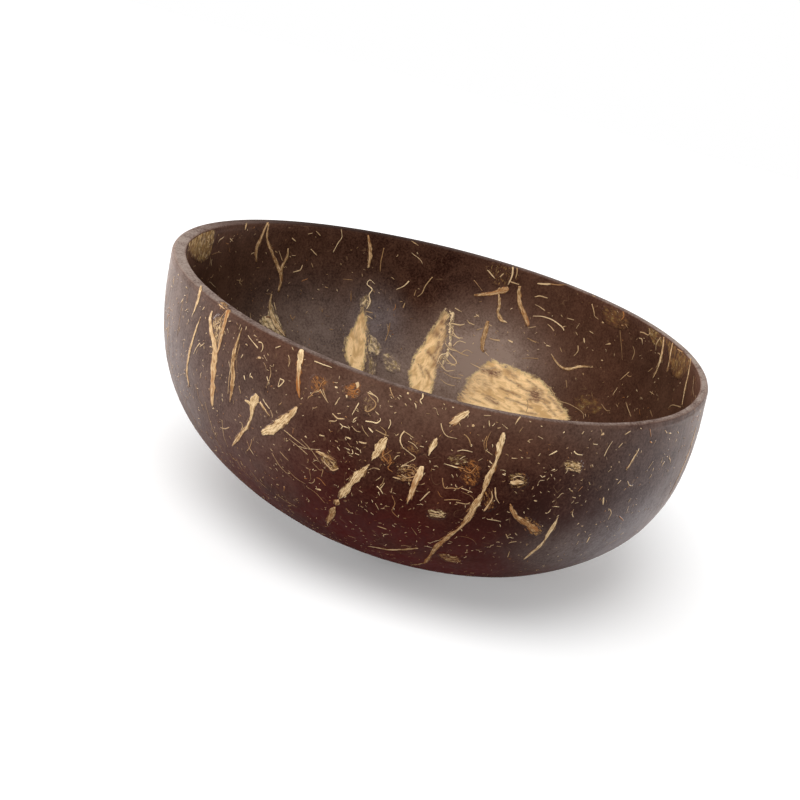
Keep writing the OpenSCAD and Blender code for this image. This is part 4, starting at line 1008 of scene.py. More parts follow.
def lay_patch(bm, tree, points, streak, marks, cell, rag, reach, stand, stains=()):
    """Lay a ragged patch on a face: a grid over its outline, pressed on, with what lies outside taken off.

    Cell is the grid's mesh, rag how far the edge wanders, and reach how far the grid runs past the outline.
    """
    points = rounded(points)
    hit, normal, way, cross = chart_of(points, tree, *streak)
    flat = [((p - hit).dot(way), (p - hit).dot(cross)) for p in points]
    x0, x1 = min(f[0] for f in flat) - reach, max(f[0] for f in flat) + reach
    y0, y1 = min(f[1] for f in flat) - reach, max(f[1] for f in flat) + reach
    nx, ny = max(int((x1 - x0) / cell), 2), max(int((y1 - y0) / cell), 2)
    grid = bmesh.ops.create_grid(bm, x_segments=nx, y_segments=ny, size=1.0)
    layer = {name: bm.verts.layers.float[name] for name in LAYERS}
    for v in grid["verts"]:
        x = x0 + (v.co.x + 1) / 2 * (x1 - x0)
        y = y0 + (v.co.y + 1) / 2 * (y1 - y0)
        q = Vector((x / EDGE_GRAIN[0] + marks["seed"] * SEED_SHIFT, y / EDGE_GRAIN[1], 3.7))
        wander = noise.noise(q) + 0.6 * noise.noise(Vector((x, y, 9.1)) / EDGE_FINE)
        d = edge_distance(flat, x, y) + rag * wander
        p = hit + way * x + cross * y
        near = tree.ray_cast(p + normal * PRESS_FROM, -normal, 2 * PRESS_FROM)
        if near[0] is None or near[1].dot(normal) < LEAST_ALIKE:
            near, d = tree.find_nearest(p), OFF
        v.co = near[0] + near[1] * stand
        for name, tone in zip(TONES, tone_under(tree, near[0])):
            v[layer[name]] = tone
        v[layer["edge"]] = d
        v[layer["run"]] = x
        v[layer["side"]] = y
        for name, value in marks.items():
            v[layer[name]] = value
        for width, strength, line in stains:
            there = strength * math.exp(-(line_distance(near[0], line) / width) ** 2)
            name = "dark" if there > 0 else "bare"
            v[layer[name]] = max(v[layer[name]], abs(there))
    edge = layer["edge"]
    spare = [f for f in {f for v in grid["verts"] for f in v.link_faces}
             if max(v[edge] for v in f.verts) < TRIM or min(v[edge] for v in f.verts) == OFF]
    bmesh.ops.delete(bm, geom=sorted(spare, key=lambda f: f.index), context="FACES")


def lay_skin():
    bm = fibre_bed()
    for n, (seen, hidden, back, streak) in enumerate(SKIN_PATCHES):
        points = [seen_at(INNER, *p) for p in seen]
        points += [on_face(INNER, *p)[0] for p in hidden]
        points += [seen_at(INNER, *p) for p in back]
        ends = [seen_at(INNER, *p) for p in streak]
        marks = {"tone": 0.8, "rust": 0.0, "seed": 0.17 + 0.31 * n, "bare": 0.0}
        stains = [(width, strength, [seen_at(INNER, *p) for p in line])
                  for patch, width, strength, line in SKIN_MARKS if patch == n]
        lay_patch(bm, INNER, points, ends, marks, cell=0.33, rag=0.55, reach=1.6, stand=0.02, stains=stains)
    close_bed(bm, SKIN_DEPTH)
    return bm


STAIN_MESH = {"cell": 0.4, "rag": 0.35, "reach": 0.8, "stand": 0.008}

# Stains of torn and rusty tissue: pixel outline, two pixels along its fibres, tone, rust, bareness
OUTER_STAINS = [
    ([(313, 377), (324, 378), (326, 388), (317, 394), (311, 387)], ((313, 378), (321, 391)), .25, .8, .75),
    ([(346, 386), (358, 384), (360, 392), (354, 398), (346, 395)], ((346, 388), (358, 392)), .4, 1, .65),
    ([(364, 398), (372, 400), (374, 409), (366, 412)], ((372, 399), (367, 411)), .5, .2, .85),
    ([(321, 452), (331, 457), (338, 467), (331, 471), (322, 462)], ((321, 453), (335, 468)), .6, .3, .7),
    ([(399, 470), (412, 464), (419, 474), (412, 480), (398, 479)], ((400, 472), (417, 476)), .55, .5, .75),
    ([(449, 456), (463, 455), (467, 463), (452, 464)], ((450, 459), (466, 459)), .5, .1, .8),
    ([(461, 463), (478, 461), (477, 483), (463, 482)], ((464, 466), (475, 478)), .3, .85, .8),
    ([(428, 511), (440, 511), (445, 516), (433, 518)], ((428, 513), (444, 516)), .7, .1, .65),
    ([(566, 461), (580, 462), (580, 471), (567, 469)], ((567, 464), (580, 467)), .7, .25, .62),
    ([(510, 475), (524, 475), (525, 485), (512, 486)], ((510, 480), (525, 482)), .5, .3, .75),
    ([(218, 303), (226, 303), (227, 312), (219, 312)], ((219, 304), (226, 311)), .7, .6, .5),
    ([(213, 322), (224, 318), (222, 337), (216, 354), (212, 352)], ((219, 320), (214, 350)), .7, .3, .72),
    ([(380, 446), (388, 450), (394, 462), (386, 464), (380, 456)], ((383, 450), (390, 462)), .2, .7, .78),
    ([(408, 442), (419, 442), (420, 452), (409, 452)], ((409, 444), (418, 450)), .3, .4, .85),
    ([(440, 554), (456, 556), (460, 562), (446, 561)], ((441, 556), (458, 560)), .5, .4, .7),
    ([(526, 518), (538, 524), (541, 533), (532, 534), (525, 526)], ((527, 521), (539, 531)), .45, .5, .7),
    ([(397, 466), (404, 464), (406, 470), (399, 471)], ((398, 468), (405, 467)), .6, .3, .7),
    ([(484, 491), (492, 490), (494, 505), (486, 510)], ((487, 492), (489, 508)), .4, .6, .8),
]
INNER_STAINS = [
    ([(496, 262), (520, 268), (516, 282), (500, 286), (488, 276)], ((505, 264), (498, 284)), .3, .4, .9),
]
# Thin greenish skin beside the patches, in the same terms
GREEN_SKIN = [
    ([(189, 231), (205, 226), (214, 230), (212, 246), (207, 259), (197, 260), (189, 248)],
     ((204, 228), (201, 258)), .42, .25, .5),
    ([(271, 300), (275, 312), (286, 339), (274, 333), (260, 321), (268, 314)], ((270, 302), (281, 334)), .8, 0, .42),
    ([(366, 332), (373, 337), (381, 350), (374, 354), (366, 351)], ((368, 335), (379, 350)), .8, 0, .58),
    ([(384, 355), (397, 359), (399, 370), (387, 369)], ((384, 359), (398, 368)), .75, 0, .76),
    ([(368, 353), (375, 358), (375, 373), (366, 371)], ((371, 355), (370, 371)), .6, 0, .8),
    ([(445, 311), (453, 315), (451, 332), (450, 350), (442, 366), (438, 366), (443, 340)],
     ((446, 312), (446, 350)), .9, 0, .3),
    ([(361, 299), (368, 296), (370, 306), (363, 309)], ((366, 297), (365, 308)), .7, 0, .6),
    ([(666, 338), (680, 346), (692, 357), (689, 368), (680, 378), (672, 372), (670, 358)],
     ((690, 360), (684, 384)), .24, .35, .7),
    ([(604, 308), (620, 312), (630, 322), (622, 328), (606, 322)], ((606, 312), (628, 324)), .12, .3, .78),
    ([(578, 396), (594, 398), (602, 408), (590, 414), (576, 408)], ((578, 400), (600, 410)), .18, .2, .8),
    ([(648, 326), (660, 332), (664, 346), (654, 344)], ((650, 328), (662, 344)), .25, .2, .7),
]
# Stains out of sight: azimuth, height share, length and breadth in mm, tone, rust, bareness
FAR_OUTER_STAINS = [
    (-12, .7, 3.5, 2.2, .6, .2, .7), (24, .55, 4.5, 2.6, .45, .6, .75), (66, .78, 4, 2.4, .6, .3, .7),
    (78, .5, 5, 2.4, .3, .8, .8), (98, .72, 3.6, 2.2, .7, .2, .7), (118, .84, 4.2, 2.2, .5, .5, .75),
    (140, .55, 5, 3, .6, .3, .72), (163, .7, 3.2, 2.4, .4, .8, .75), (-170, .45, 4.6, 2.6, .6, .2, .75),
]
FAR_INNER_STAINS = [
    (-52, .74, 5, 3, .5, .3, .75), (-90, .55, 6, 3.4, .6, .1, .78), (-128, .72, 5, 2.6, .5, .2, .75),
    (-165, .5, 4.6, 3, .6, .1, .8), (-10, .6, 4, 2.6, .45, .4, .8), (10, .12, 5.2, 2.8, .45, .3, .78),
    (-70, .14, 6, 3.4, .5, .3, .78), (-110, .3, 4.4, 2.4, .4, .4, .8), (150, .16, 4.2, 2.4, .5, .2, .8),
]


def lay_stains(tree, seen, far, chance):
    bm = fibre_bed()
    for outline, grain, tone, rust, bare in seen:
        points = [seen_at(tree, *p) for p in outline]
        ends = [seen_at(tree, *p) for p in grain]
        marks = {"tone": tone, "rust": rust, "seed": chance.random(), "bare": bare}
        lay_patch(bm, tree, points, ends, marks, **STAIN_MESH)
    for az, share, length, breadth, tone, rust, bare in far:
        middle, normal = on_face(tree, az, share)
        east, north = tangent_frame(normal)
        turn = chance.uniform(0, math.pi)
        way = east * math.cos(turn) + north * math.sin(turn)
        cross = normal.cross(way)
        points = []
        for k in range(8):
            a = k * math.pi / 4
            reach = chance.uniform(0.8, 1.2)
            points.append(middle + way * math.cos(a) * length / 2 * reach + cross * math.sin(a) * breadth / 2 * reach)
        marks = {"tone": tone, "rust": rust, "seed": chance.random(), "bare": bare}
        lay_patch(bm, tree, points, (middle, middle + way), marks, **STAIN_MESH)
    close_bed(bm, STAIN_DEPTH)
    return bm


def tangent_frame(normal):
    east = Vector((0, 0, 1)).cross(normal)
    if east.length < 1e-3:
        east = Vector((1, 0, 0))
    east.normalize()
    return east, normal.cross(east).normalized()


def curl(start, normal, heading, length, bend, twist, steps):
    """Points of a short curled fibre on the tangent plane; bend and twist are turns in radians."""
    east, north = tangent_frame(normal)
    p = start.copy()
    points = [p.copy()]
    step = length / steps
    for i in range(steps):
        f = (i + 0.5) / steps - 0.5
        a = heading + bend * f + twist * (f * f - 0.08)
        p = p + (east * math.cos(a) + north * math.sin(a)) * step
        points.append(p.copy())
    mid = points[len(points) // 2]
    return [q + (start - mid) for q in points]


# The azimuths of the two faces that the photograph shows, and the height share that the inner one is hidden below
OUTER_SEEN = (-158, -22)
INNER_SEEN = (8, 160)
INNER_HIDDEN = 0.3


def in_sight(tree, az, share):
    """Where the photograph shows a face, so that its flecks are read from it and only specks are strewn."""
    if tree is OUTER:
        return OUTER_SEEN[0] < az < OUTER_SEEN[1]
    return INNER_SEEN[0] < az < INNER_SEEN[1] and share > INNER_HIDDEN


# Flecks on the inner floor lie within this distance of the bowl's middle
FLOOR_REACH = 27.0
# A strewn fleck's bounds in millimetres, and the same for a speck; how many are specks where the photograph shows
# the face, and how many flecks are rusty
FLECK_LONG = (0.35, 5.5)
FLECK_WIDE = (0.08, 0.22)
FLECK_ROW = 0.35
SPECK_LONG = (0.25, 0.9)
SPECK_WIDE = (0.07, 0.16)
SPECK_SHARE = 0.88
RUSTY_SHARE = 0.1


def lay_fleck(bm, tree, start, normal, sparse, chance):
    """One random curled fleck; where the photograph shows the face, mostly a mere speck."""
    speck = sparse and chance.random() < SPECK_SHARE
    if speck:
        length = chance.uniform(*SPECK_LONG)
    else:
        length = min(max(chance.lognormvariate(0.3, 0.6), FLECK_LONG[0]), FLECK_LONG[1])
    steps = max(3, min(10, int(length / FLECK_ROW)))
    line = curl(start, normal, chance.uniform(0, math.pi), length, chance.gauss(0, 1.0), chance.gauss(0, 2.2), steps)
    width = chance.uniform(*(SPECK_WIDE if speck else FLECK_WIDE))
    widths = [width * (0.35 + 0.65 * math.sin(math.pi * min(max(i / steps, 0.05), 0.95)) ** 0.5)
              for i in range(steps + 1)]
    dim = tree is INNER and sparse
    tone = min(max(chance.gauss(0.46 if dim else 0.56, 0.25), 0.08), 1.0)
    rust = 1.0 if chance.random() < RUSTY_SHARE else chance.uniform(0, 0.3)
    halves = ragged_halves(line, widths, 0.3, chance)
    marks = {"tone": tone, "rust": rust, "seed": chance.random()}
    lay_strip(bm, tree, line, halves, marks, stand=0.01, crown=0.02, across=2)


def scatter_flecks(tree, chance, density, count, low, high, on_floor=0):
    """Strew flecks between two height shares, as thick as density says, and some on the inner floor."""
    bm = fibre_bed()
    for _ in range(on_floor):
        reach, turn = FLOOR_REACH * math.sqrt(chance.random()), chance.uniform(-math.pi, math.pi)
        above = Vector((reach * math.cos(turn), reach * math.sin(turn), BOWL_HEIGHT))
        start, normal, _, _ = tree.ray_cast(above, Vector((0, 0, -1)))
        lay_fleck(bm, tree, start, normal, False, chance)
    laid = 0
    while laid < count:
        az = chance.uniform(-180, 180)
        u = chance.uniform(u_at(low * BOWL_HEIGHT), u_at(high * BOWL_HEIGHT))
        share = height_at(u) / BOWL_HEIGHT
        if chance.random() > density(az, share) * radius_share(u):
            continue
        start, normal = on_face(tree, az, share)
        lay_fleck(bm, tree, start, normal, in_sight(tree, az, share), chance)
        laid += 1
    close_bed(bm, FLECK_DEPTH)
    return bm


# Where the outer face's flecks lie thicker: height, azimuth, height share, breadth in degrees and in height share
OUTER_THICK = [(1.6, -96, 0.62, 20, 0.25), (0.35, -52, 0.7, 18, 0.3), (1.1, -114, 0.42, 20, 0.2),
               (0.9, -152, 0.6, 22, 0.45), (0.2, -36, 0.55, 20, 0.4), (0.8, -138, 0.38, 20, 0.25)]


def outer_density(az, share):
    """Flecks lie thickest round the front left and thin out to the right."""
    if az >= -20:
        return 0.47 + 0.1 * math.sin(math.radians(az * 2 + 40))
    front = math.exp(-((az + 100) / 38) ** 2)
    return 0.22 + 0.42 * front + sum(height * bump_at(az, share, *where) for height, *where in OUTER_THICK)


def inner_density(az, share):
    """Flecks are few high on the far wall, and fewer are strewn where the photograph's own are laid."""
    few = 1 - 0.75 * bump_at(az, share, 98, 0.85, 20, 0.25)
    plenty = 0.65 if in_sight(INNER, az, share) else 1.0
    return few * plenty * (0.65 + 0.3 * math.sin(math.radians(az * 3)))


# ---------------------------------------------------------------- materials
class Look:
    """One material's nodes, made and joined in short lines."""

    def __init__(self, name):
        self.material = bpy.data.materials.new(name)
        self.material.use_nodes = True
        self.tree = self.material.node_tree
        self.shader = self.tree.nodes["Principled BSDF"]
        self.place = self.add("ShaderNodeTexCoord").outputs["Object"]

    def add(self, kind, **values):
        node = self.tree.nodes.new(kind)
        for key, value in values.items():
            setattr(node, key, value)
        return node

    def put(self, node, socket, value):
        target = node.inputs[socket]
        if hasattr(value, "links"):
            self.tree.links.new(value, target)
        else:
            target.default_value = value

    def stretched(self, scale, turn=(0, 0, 0)):
        node = self.add("ShaderNodeMapping")
        self.put(node, "Vector", self.place)
        node.inputs["Scale"].default_value = scale
        node.inputs["Rotation"].default_value = turn
        return node.outputs["Vector"]

    def noise(self, scale, detail=3.0, rough=0.55, warp=0.0, at=None):
        node = self.add("ShaderNodeTexNoise")
        self.put(node, "Vector", at or self.place)
        node.inputs["Scale"].default_value = scale
        node.inputs["Detail"].default_value = detail
        node.inputs["Roughness"].default_value = rough
        node.inputs["Distortion"].default_value = warp
        return node.outputs["Fac"]

    def range(self, value, low, high, to_low=0.0, to_high=1.0, soft=True):
        node = self.add("ShaderNodeMapRange")
        node.interpolation_type = "SMOOTHSTEP" if soft else "LINEAR"
        self.put(node, "Value", value)
        for name, v in (("From Min", low), ("From Max", high), ("To Min", to_low), ("To Max", to_high)):
            self.put(node, name, v)
        return node.outputs["Result"]

    def sum(self, kind, a, b, clamp=False):
        node = self.add("ShaderNodeMath", operation=kind, use_clamp=clamp)
        self.put(node, 0, a)
        self.put(node, 1, b)
        return node.outputs["Value"]

    def blend(self, factor, a, b, kind="MIX"):
        node = self.add("ShaderNodeMix", data_type="RGBA", blend_type=kind)
        self.put(node, 0, factor)
        self.put(node, 6, a if hasattr(a, "links") else (*a, 1.0))
        self.put(node, 7, b if hasattr(b, "links") else (*b, 1.0))
        return node.outputs[2]

    def mark(self, name):
        return self.add("ShaderNodeAttribute", attribute_name=name).outputs["Fac"]

    def relief(self, height, distance, strength=1.0):
        node = self.add("ShaderNodeBump")
        node.inputs["Strength"].default_value = strength
        node.inputs["Distance"].default_value = distance
        self.put(node, "Height", height)
        self.put(self.shader, "Normal", node.outputs["Normal"])


# Colours are linear. The hard shell, a painted sheen on it that stands for the surroundings' reflection in the
# polish, and its sawn edge
SHELL_DARK = (0.0150, 0.0044, 0.0026)
SHELL_BROWN = (0.134, 0.064, 0.0385)
SHELL_RED = (0.078, 0.0052, 0.0034)
SHELL_HAIR = (0.19, 0.105, 0.055)
PAINTED_SHEEN_GREY = (0.255, 0.180, 0.142)
PAINTED_SHEEN_BLUE = (0.190, 0.165, 0.170)
CUT_PALE = (0.38, 0.30, 0.255)
CUT_BROWN = (0.175, 0.118, 0.098)
CUT_DARK = (0.04, 0.022, 0.017)


def shell_colour(look):
    """Dark mottled brown, redder towards the underneath, with faint hairs and pores in it, under a painted sheen,
    warm grey to bluish, that stands for reflection.
    """
    broad = look.noise(45, 4, 0.6, 0.3)
    fine = look.noise(1700, 3, 0.75)
    level = look.sum("ADD", look.mark("light"), look.range(broad, 0.3, 0.7, -0.15, 0.15, soft=False))
    cloud = look.noise(190, 4, 0.6, 0.5)
    level = look.sum("ADD", level, look.range(cloud, 0.35, 0.75, -0.08, 0.13))
    level = look.sum("ADD", level, look.range(fine, 0.3, 0.7, -0.26, 0.26, soft=False), True)
    colour = look.blend(level, SHELL_DARK, SHELL_BROWN)
    redness = look.sum("MULTIPLY", look.mark("red"), look.range(look.noise(70, 3), 0.3, 0.65, 0.45, 1.0), True)
    colour = look.blend(redness, colour, look.blend(level, tuple(c * 0.6 for c in SHELL_RED), SHELL_RED))
    wisp = look.noise(260, 0.0, 0.5, 0.6)
    wisp = look.sum("ABSOLUTE", look.sum("SUBTRACT", wisp, 0.5), 0.0)
    wisp = look.range(wisp, 0.004, 0.013, 1.0, 0.0)
    wisp = look.sum("MULTIPLY", wisp, look.range(look.noise(360, 1.0), 0.56, 0.63, 0.0, 0.4))
    colour = look.blend(wisp, colour, SHELL_HAIR)
    # Painted sheen: a warm grey to bluish colour laid over the shell, as much as its tone says, standing for the
    # surroundings' reflection in the polish.
    painted_sheen_mask = look.sum("ADD", look.range(cloud, 0.3, 0.7, -0.2, 0.2), look.range(fine, 0.3, 0.7, -0.4, 0.4, soft=False))
    painted_sheen = look.mark("painted_sheen")
    painted_sheen_mask = look.sum("MULTIPLY", painted_sheen, look.sum("ADD", painted_sheen_mask, 1.0), True)
    return look.blend(painted_sheen_mask, colour, look.blend(look.mark("painted_sheen_blue"), PAINTED_SHEEN_GREY, PAINTED_SHEEN_BLUE))


def shell_gloss(look):
    """Roughness of the polished face: satin, with finer and duller areas and faint sanding lines.

    It is duller near the sanded underneath and on the sawn rim.
    """
    gloss = look.range(look.noise(80, 4, 0.6), 0.3, 0.7, 0.33, 0.45)
    lines = look.noise(1100, 2, 0.5, 0.0, look.stretched((1, 1, 0.05), (0.35, 0.2, 0.0)))
    gloss = look.sum("ADD", gloss, look.range(lines, 0.35, 0.65, -0.04, 0.06))
    parts = look.add("ShaderNodeSeparateXYZ")
    look.put(parts, "Vector", look.place)
    height = parts.outputs["Z"]
    gloss = look.sum("ADD", gloss, look.range(height, 0.008, 0.036, 0.42, 0.0))
    return look.sum("ADD", gloss, look.range(height, 0.0580, 0.0592, 0.0, 0.35))


def shell_relief(look):
    """Height of the faint sanding lines and pores."""
    lines = look.noise(900, 2, 0.5, 0.0, look.stretched((1, 1, 0.04), (0.35, 0.2, 0.0)))
    pores = look.noise(1500, 3, 0.6)
    return look.sum("ADD", look.sum("MULTIPLY", lines, 0.6), look.sum("MULTIPLY", pores, 0.4))


def satin(shader):
    """An oiled, polished surface: a weak mirror, warm where it is looked at squarely."""
    shader.inputs["IOR"].default_value = 1.5
    shader.inputs["Specular IOR Level"].default_value = 0.05
    shader.inputs["Specular Tint"].default_value = (1.0, 0.80, 0.70, 1.0)


def polished_shell():
    """The shell's material: its own colour on both faces, and a grained brown where it is cut or sanded flat."""
    look = Look("polished coconut shell")
    colour = shell_colour(look)
    cut = look.mark("cut")
    grain = look.sum("ADD", look.noise(1700, 3, 0.7), look.sum("MULTIPLY", look.noise(260, 3, 0.6), 0.6))
    level = look.sum("MULTIPLY", look.mark("light"), look.range(grain, 0.62, 0.98, 0.45, 1.5, soft=False), True)
    sawn = look.blend(look.range(level, 0.0, 0.5, soft=False), CUT_DARK, CUT_BROWN)
    sawn = look.blend(look.range(level, 0.45, 1.0, soft=False), sawn, CUT_PALE)
    colour = look.blend(cut, colour, sawn)
    look.put(look.shader, "Base Color", colour)
    look.put(look.shader, "Roughness", look.sum("ADD", shell_gloss(look), look.sum("MULTIPLY", cut, 0.3)))
    satin(look.shader)
    look.relief(shell_relief(look), 0.00003, 0.25)
    return look.material


# Fibres, patches of skin and stains
FIBRE_CREAM = (0.87, 0.645, 0.375)
FIBRE_TAN = (0.45, 0.28, 0.13)
FIBRE_DARK = (0.15, 0.072, 0.030)
FIBRE_BARK = (0.23, 0.095, 0.030)
FIBRE_RUST = (0.33, 0.118, 0.031)
SKIN_CREAM = (0.96, 0.66, 0.34)
SKIN_TAN = (0.64, 0.39, 0.17)
SKIN_BROWN = (0.19, 0.095, 0.06)
SKIN_GREEN = (0.33, 0.27, 0.12)
STAIN_OLIVE = (0.24, 0.165, 0.055)


# Noise under BARE_LEVEL plus BARE_BITE times bareness is bare
BARE_BITE = 0.38
BARE_LEVEL = 0.25


def laid_look(name, colour_of, fray, soft, stretch=(0.9, 3.2), hollow=0.0, hairs=0.0, blur=0.05):
    """A laid fibre's material: its own colour inside a frayed edge, and the shell's colour past it.

    Fray is how deep the edge is torn and soft how softly it ends, in millimetres. Stretch is the pattern's scale
    along and across the fibre. A hollow fibre is bare only away from its edge, hairs is the scale of the hairs
    that cross the bare parts, and blur is how softly those end.
    """
    look = Look(name)
    join = look.add("ShaderNodeCombineXYZ")
    look.put(join, "X", look.mark("run"))
    look.put(join, "Y", look.mark("side"))
    look.put(join, "Z", look.sum("MULTIPLY", look.mark("seed"), SEED_SHIFT))
    edge = look.mark("edge")
    squeeze = look.add("ShaderNodeVectorMath", operation="MULTIPLY")
    look.put(squeeze, 0, join.outputs["Vector"])
    squeeze.inputs[1].default_value = (*stretch, 1.0)
    streaks = squeeze.outputs["Vector"]
    torn = look.noise(1.4, 3, 0.7, 0.0, streaks)
    torn = look.range(torn, 0.25, 0.75, -fray, fray, soft=False)
    mask = look.range(look.sum("ADD", edge, torn), -soft, soft)
    fibre = colour_of(look, edge, streaks)
    bare = look.mark("bare")
    if hollow:
        bare = look.sum("MULTIPLY", bare, look.range(edge, hollow, 0.0))
    gaps = look.noise(1.1, 4, 0.7, 0.2, streaks)
    kept = look.sum("SUBTRACT", gaps, look.sum("MULTIPLY", bare, BARE_BITE))
    kept = look.range(kept, BARE_LEVEL - blur, BARE_LEVEL + blur)
    if hairs:
        line = look.noise(hairs, 1.0, 0.4, 1.2, streaks)
        line = look.sum("ABSOLUTE", look.sum("SUBTRACT", line, 0.5), 0.0)
        line = look.range(line, 0.010, 0.035, 1.0, 0.0)
        spread = look.range(look.noise(0.45, 2, 0.6), 0.42, 0.58)
        kept = look.sum("MAXIMUM", kept, look.sum("MULTIPLY", line, look.sum("MULTIPLY", spread, 0.85)))
    mask = look.sum("MULTIPLY", mask, kept)
    colour = look.blend(mask, shell_colour(look), fibre)
    look.put(look.shader, "Base Color", colour)
    look.put(look.shader, "Roughness", look.sum("ADD", shell_gloss(look), look.sum("MULTIPLY", mask, 0.12)))
    satin(look.shader)
    height = look.sum("ADD", shell_relief(look), look.sum("MULTIPLY", torn, 0.5))
    look.relief(height, 0.00004, 0.5)
    return look.material


def strand_colour(look, edge, streaks):
    """Cream and tan threads side by side, darker where they are thin, with some rusty lengths and painted shade along
    their edges.
    """
    tone = look.mark("tone")
    threads = look.noise(1.7, 3, 0.6, 0.0, streaks)
    level = look.sum("ADD", tone, look.range(threads, 0.34, 0.66, -0.65, 0.28, soft=False))
    level = look.sum("ADD", level, look.range(look.noise(900, 3, 0.6), 0.3, 0.7, -0.22, 0.12), True)
    colour = look.blend(look.range(level, 0.0, 0.45, soft=False), FIBRE_DARK, FIBRE_TAN)
    colour = look.blend(look.range(level, 0.35, 0.95, soft=False), colour, FIBRE_CREAM)
    # Painted shade: a dark rim along each strand's edge stands for the shadow of the groove the strand lies in.
    colour = look.blend(look.range(edge, 0.10, -0.02, 0.0, 0.7), colour, FIBRE_DARK)
    cracks = look.range(look.noise(2.2, 2, 0.6, 0.0, streaks), 0.58, 0.70, 0.0, 0.65)
    colour = look.blend(cracks, colour, FIBRE_BARK)
    glow = look.range(look.noise(0.5, 2, 0.5, 0.0, streaks), 0.40, 0.65)
    rust = look.sum("MULTIPLY", look.mark("rust"), look.sum("ADD", glow, 0.45), True)
    return look.blend(rust, colour, FIBRE_RUST)


def fleck_colour(look, edge, streaks):
    """One tone from dark to cream, or rusty: a fleck is too thin to show its edge or its streaks."""
    tone = look.mark("tone")
    colour = look.blend(look.range(tone, 0.05, 0.5, soft=False), FIBRE_DARK, FIBRE_TAN)
    colour = look.blend(look.range(tone, 0.35, 0.85, soft=False), colour, FIBRE_CREAM)
    return look.blend(look.sum("MULTIPLY", look.mark("rust"), 0.9), colour, FIBRE_RUST)


def skin_colour(look, edge, streaks):
    """Cream with tan clouds, thin brown streaks along the fibres, and a greener fringe."""
    tone = look.mark("tone")
    wide = look.range(look.noise(0.30, 3, 0.6, 0.6, streaks), 0.34, 0.58)
    colour = look.blend(wide, SKIN_TAN, SKIN_CREAM)
    fine = look.range(look.noise(1.5, 4, 0.7, 0.3, streaks), 0.50, 0.68)
    colour = look.blend(look.sum("MULTIPLY", fine, 0.6), colour, SKIN_TAN)
    deep = look.range(look.noise(0.7, 3, 0.65, 0.5, streaks), 0.60, 0.72)
    colour = look.blend(look.sum("MULTIPLY", deep, 0.16), colour, SKIN_BROWN)
    mottle = look.range(look.noise(0.9, 3, 0.65, 0.4, streaks), 0.3, 0.6, 0.35, 1.1, soft=False)
    colour = look.blend(look.sum("MULTIPLY", look.mark("dark"), mottle, True), colour, SKIN_BROWN)
    fringe = look.range(edge, 0.1, 1.1, 0.4, 0.0)
    colour = look.blend(fringe, colour, SKIN_GREEN)
    colour = look.blend(look.range(tone, 0.0, 0.8, 0.9, 0.0, soft=False), colour, SKIN_TAN)
    return colour


def stain_colour(look, edge, streaks):
    """Olive and golden threads on brown, each stain with its own share of rust."""
    threads = look.range(look.noise(1.6, 3, 0.6, 0.5, streaks), 0.3, 0.7, -0.5, 0.5, soft=False)
    level = look.sum("ADD", look.mark("tone"), threads, True)
    colour = look.blend(look.range(level, 0.0, 0.5, soft=False), FIBRE_DARK, STAIN_OLIVE)
    colour = look.blend(look.range(level, 0.45, 1.0, soft=False), colour, FIBRE_CREAM)
    rust = look.sum("MULTIPLY", look.mark("rust"), look.range(look.noise(0.6, 2), 0.3, 0.55), True)
    return look.blend(rust, colour, FIBRE_RUST)


# ---------------------------------------------------------------- the table, the light
# Half the table's breadth in metres; its lightness to rays that light the bowl, then to rays that show the table,
# and its glow to these; and the room's light on the bowl
TABLE_REACH = 0.9
TABLE_COLOUR = 0.35
TABLE_WHITE = 0.95
TABLE_GLOW = 0.09
ROOM_LIGHT = 0.30


def shows_white(tree):
    """One for rays from the camera and for what polished or clear things show, nought for the rest."""
    path = tree.nodes.new("ShaderNodeLightPath")
    seen = path.outputs["Is Camera Ray"]
    for other in ("Is Glossy Ray", "Is Transmission Ray"):
        most = tree.nodes.new("ShaderNodeMath")
        most.operation = "MAXIMUM"
        tree.links.new(seen, most.inputs[0])
        tree.links.new(path.outputs[other], most.inputs[1])
        seen = most.outputs["Value"]
    return seen


def white_room():
    """A world that is white to look at and gives a soft, weaker light."""
    world = bpy.data.worlds.new("white room")
    bpy.context.scene.world = world
    world.use_nodes = True
    tree = world.node_tree
    back = tree.nodes["Background"]
    level = tree.nodes.new("ShaderNodeMapRange")
    level.inputs["To Min"].default_value = ROOM_LIGHT
    level.inputs["To Max"].default_value = 1.0
    tree.links.new(shows_white(tree), level.inputs["Value"])
    tree.links.new(level.outputs["Result"], back.inputs["Strength"])
    back.inputs["Color"].default_value = (1, 1, 1, 1)


def aim_lamp(name, lamp, place, aim=(0, 0, 0.03)):
    body = bpy.data.objects.new(name, lamp)
    way = Vector(place) - Vector(aim)
    body.matrix_world = Matrix.Translation(place) @ way.to_track_quat("Z", "Y").to_matrix().to_4x4()
    bpy.context.scene.collection.objects.link(body)


def softbox(name, place, size, power):
    lamp = bpy.data.lights.new(name, "AREA")
    lamp.shape = "RECTANGLE"
    lamp.size, lamp.size_y = size
    lamp.energy = power
    aim_lamp(name, lamp, place)


def skylight(name, place, strength, spread):
    lamp = bpy.data.lights.new(name, "SUN")
    lamp.energy = strength
    lamp.angle = math.radians(spread)
    aim_lamp(name, lamp, place)


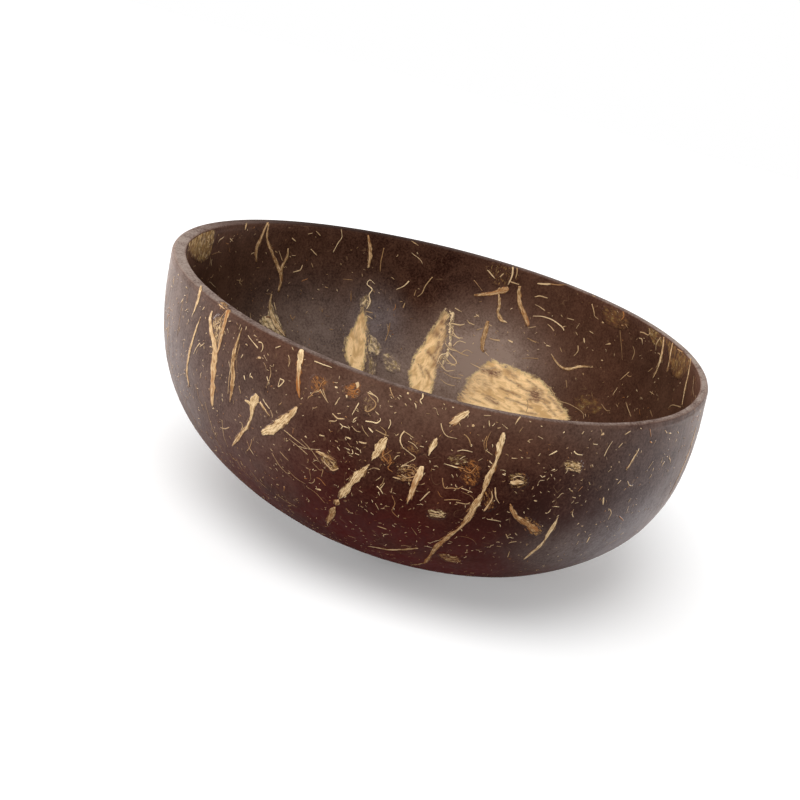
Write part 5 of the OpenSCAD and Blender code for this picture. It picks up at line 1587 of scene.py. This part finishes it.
def white_table():
    bm = bmesh.new()
    bmesh.ops.create_grid(bm, x_segments=1, y_segments=1, size=TABLE_REACH)
    mesh = bpy.data.meshes.new("white_table")
    bm.to_mesh(mesh)
    bm.free()
    look = Look("white table")
    shade = look.range(shows_white(look.tree), 0.0, 1.0, TABLE_COLOUR, TABLE_WHITE, soft=False)
    look.put(look.shader, "Base Color", shade)
    look.shader.inputs["Roughness"].default_value = 0.9
    look.shader.inputs["Specular IOR Level"].default_value = 0.0
    look.shader.inputs["Emission Color"].default_value = (1, 1, 1, 1)
    glow = look.sum("MULTIPLY", shows_white(look.tree), TABLE_GLOW)
    look.put(look.shader, "Emission Strength", glow)
    mesh.materials.append(look.material)
    table = bpy.data.objects.new("white_table", mesh)
    bpy.context.scene.collection.objects.link(table)


# ---------------------------------------------------------------- making it
shell_bm = turn_shell()
OUTER, INNER = face_trees(shell_bm)
finish_piece(shell_bm, "coconut_shell", polished_shell(), ["shell"])

strand_look = laid_look("strand fibre", strand_colour, fray=0.16, soft=0.05, stretch=(0.42, 3.8), hollow=0.22)
fleck_look = laid_look("fleck fibre", fleck_colour, fray=0.05, soft=0.06)
skin_look = laid_look("pale inner skin", skin_colour, fray=0.75, soft=0.45, stretch=(0.8, 1.9), blur=0.13)
green_look = laid_look("thin green skin", stain_colour, fray=0.9, soft=0.5, stretch=(0.5, 0.8), blur=0.16)
stain_look = laid_look("torn tissue", stain_colour, fray=0.5, soft=0.2, stretch=(0.9, 2.0), hairs=0.8)

outer_strands = lay_strands(OUTER, OUTER_STRANDS, FAR_OUTER_STRANDS, random.Random(11))
finish_piece(outer_strands, "outer_strand_fibres", strand_look, ["outer_strands"])
inner_strands = lay_strands(INNER, INNER_STRANDS, FAR_INNER_STRANDS, random.Random(12))
finish_piece(inner_strands, "inner_strand_fibres", strand_look, ["inner_strands"])

outer_flecks = scatter_flecks(OUTER, random.Random(21), outer_density, count=2900, low=0.03, high=0.985)
finish_piece(outer_flecks, "outer_flecks", fleck_look)
inner_flecks = scatter_flecks(INNER, random.Random(22), inner_density, count=1750, low=0.06, high=0.985, on_floor=170)
finish_piece(inner_flecks, "inner_flecks", fleck_look)

finish_piece(lay_skin(), "inner_skin_patches", skin_look, ["inner_skin"])
finish_piece(lay_read_flecks(OUTER, OUTER_FLECKS, random.Random(31)), "outer_curls", fleck_look)
finish_piece(lay_read_flecks(INNER, INNER_FLECKS, random.Random(32)), "inner_curls", fleck_look)

outer_stains = lay_stains(OUTER, OUTER_STAINS, FAR_OUTER_STAINS, random.Random(41))
finish_piece(outer_stains, "outer_stains", stain_look)
inner_stains = lay_stains(INNER, INNER_STAINS, FAR_INNER_STAINS, random.Random(42))
finish_piece(inner_stains, "inner_stains", stain_look)
finish_piece(lay_stains(INNER, GREEN_SKIN, [], random.Random(43)), "green_skin", green_look)

place_camera()
white_room()
white_table()
skylight("skylight", place=(-0.18, -0.50, 0.85), strength=1.9, spread=40)
softbox("window_front", place=(-0.40, -1.20, 0.36), size=(1.2, 0.24), power=8.0)
softbox("window_left", place=(-0.86, 0.50, 0.10), size=(0.9, 0.16), power=15)
softbox("window_right", place=(0.84, 0.56, 0.10), size=(0.9, 0.16), power=14)
bpy.context.scene.view_settings.view_transform = "Standard"
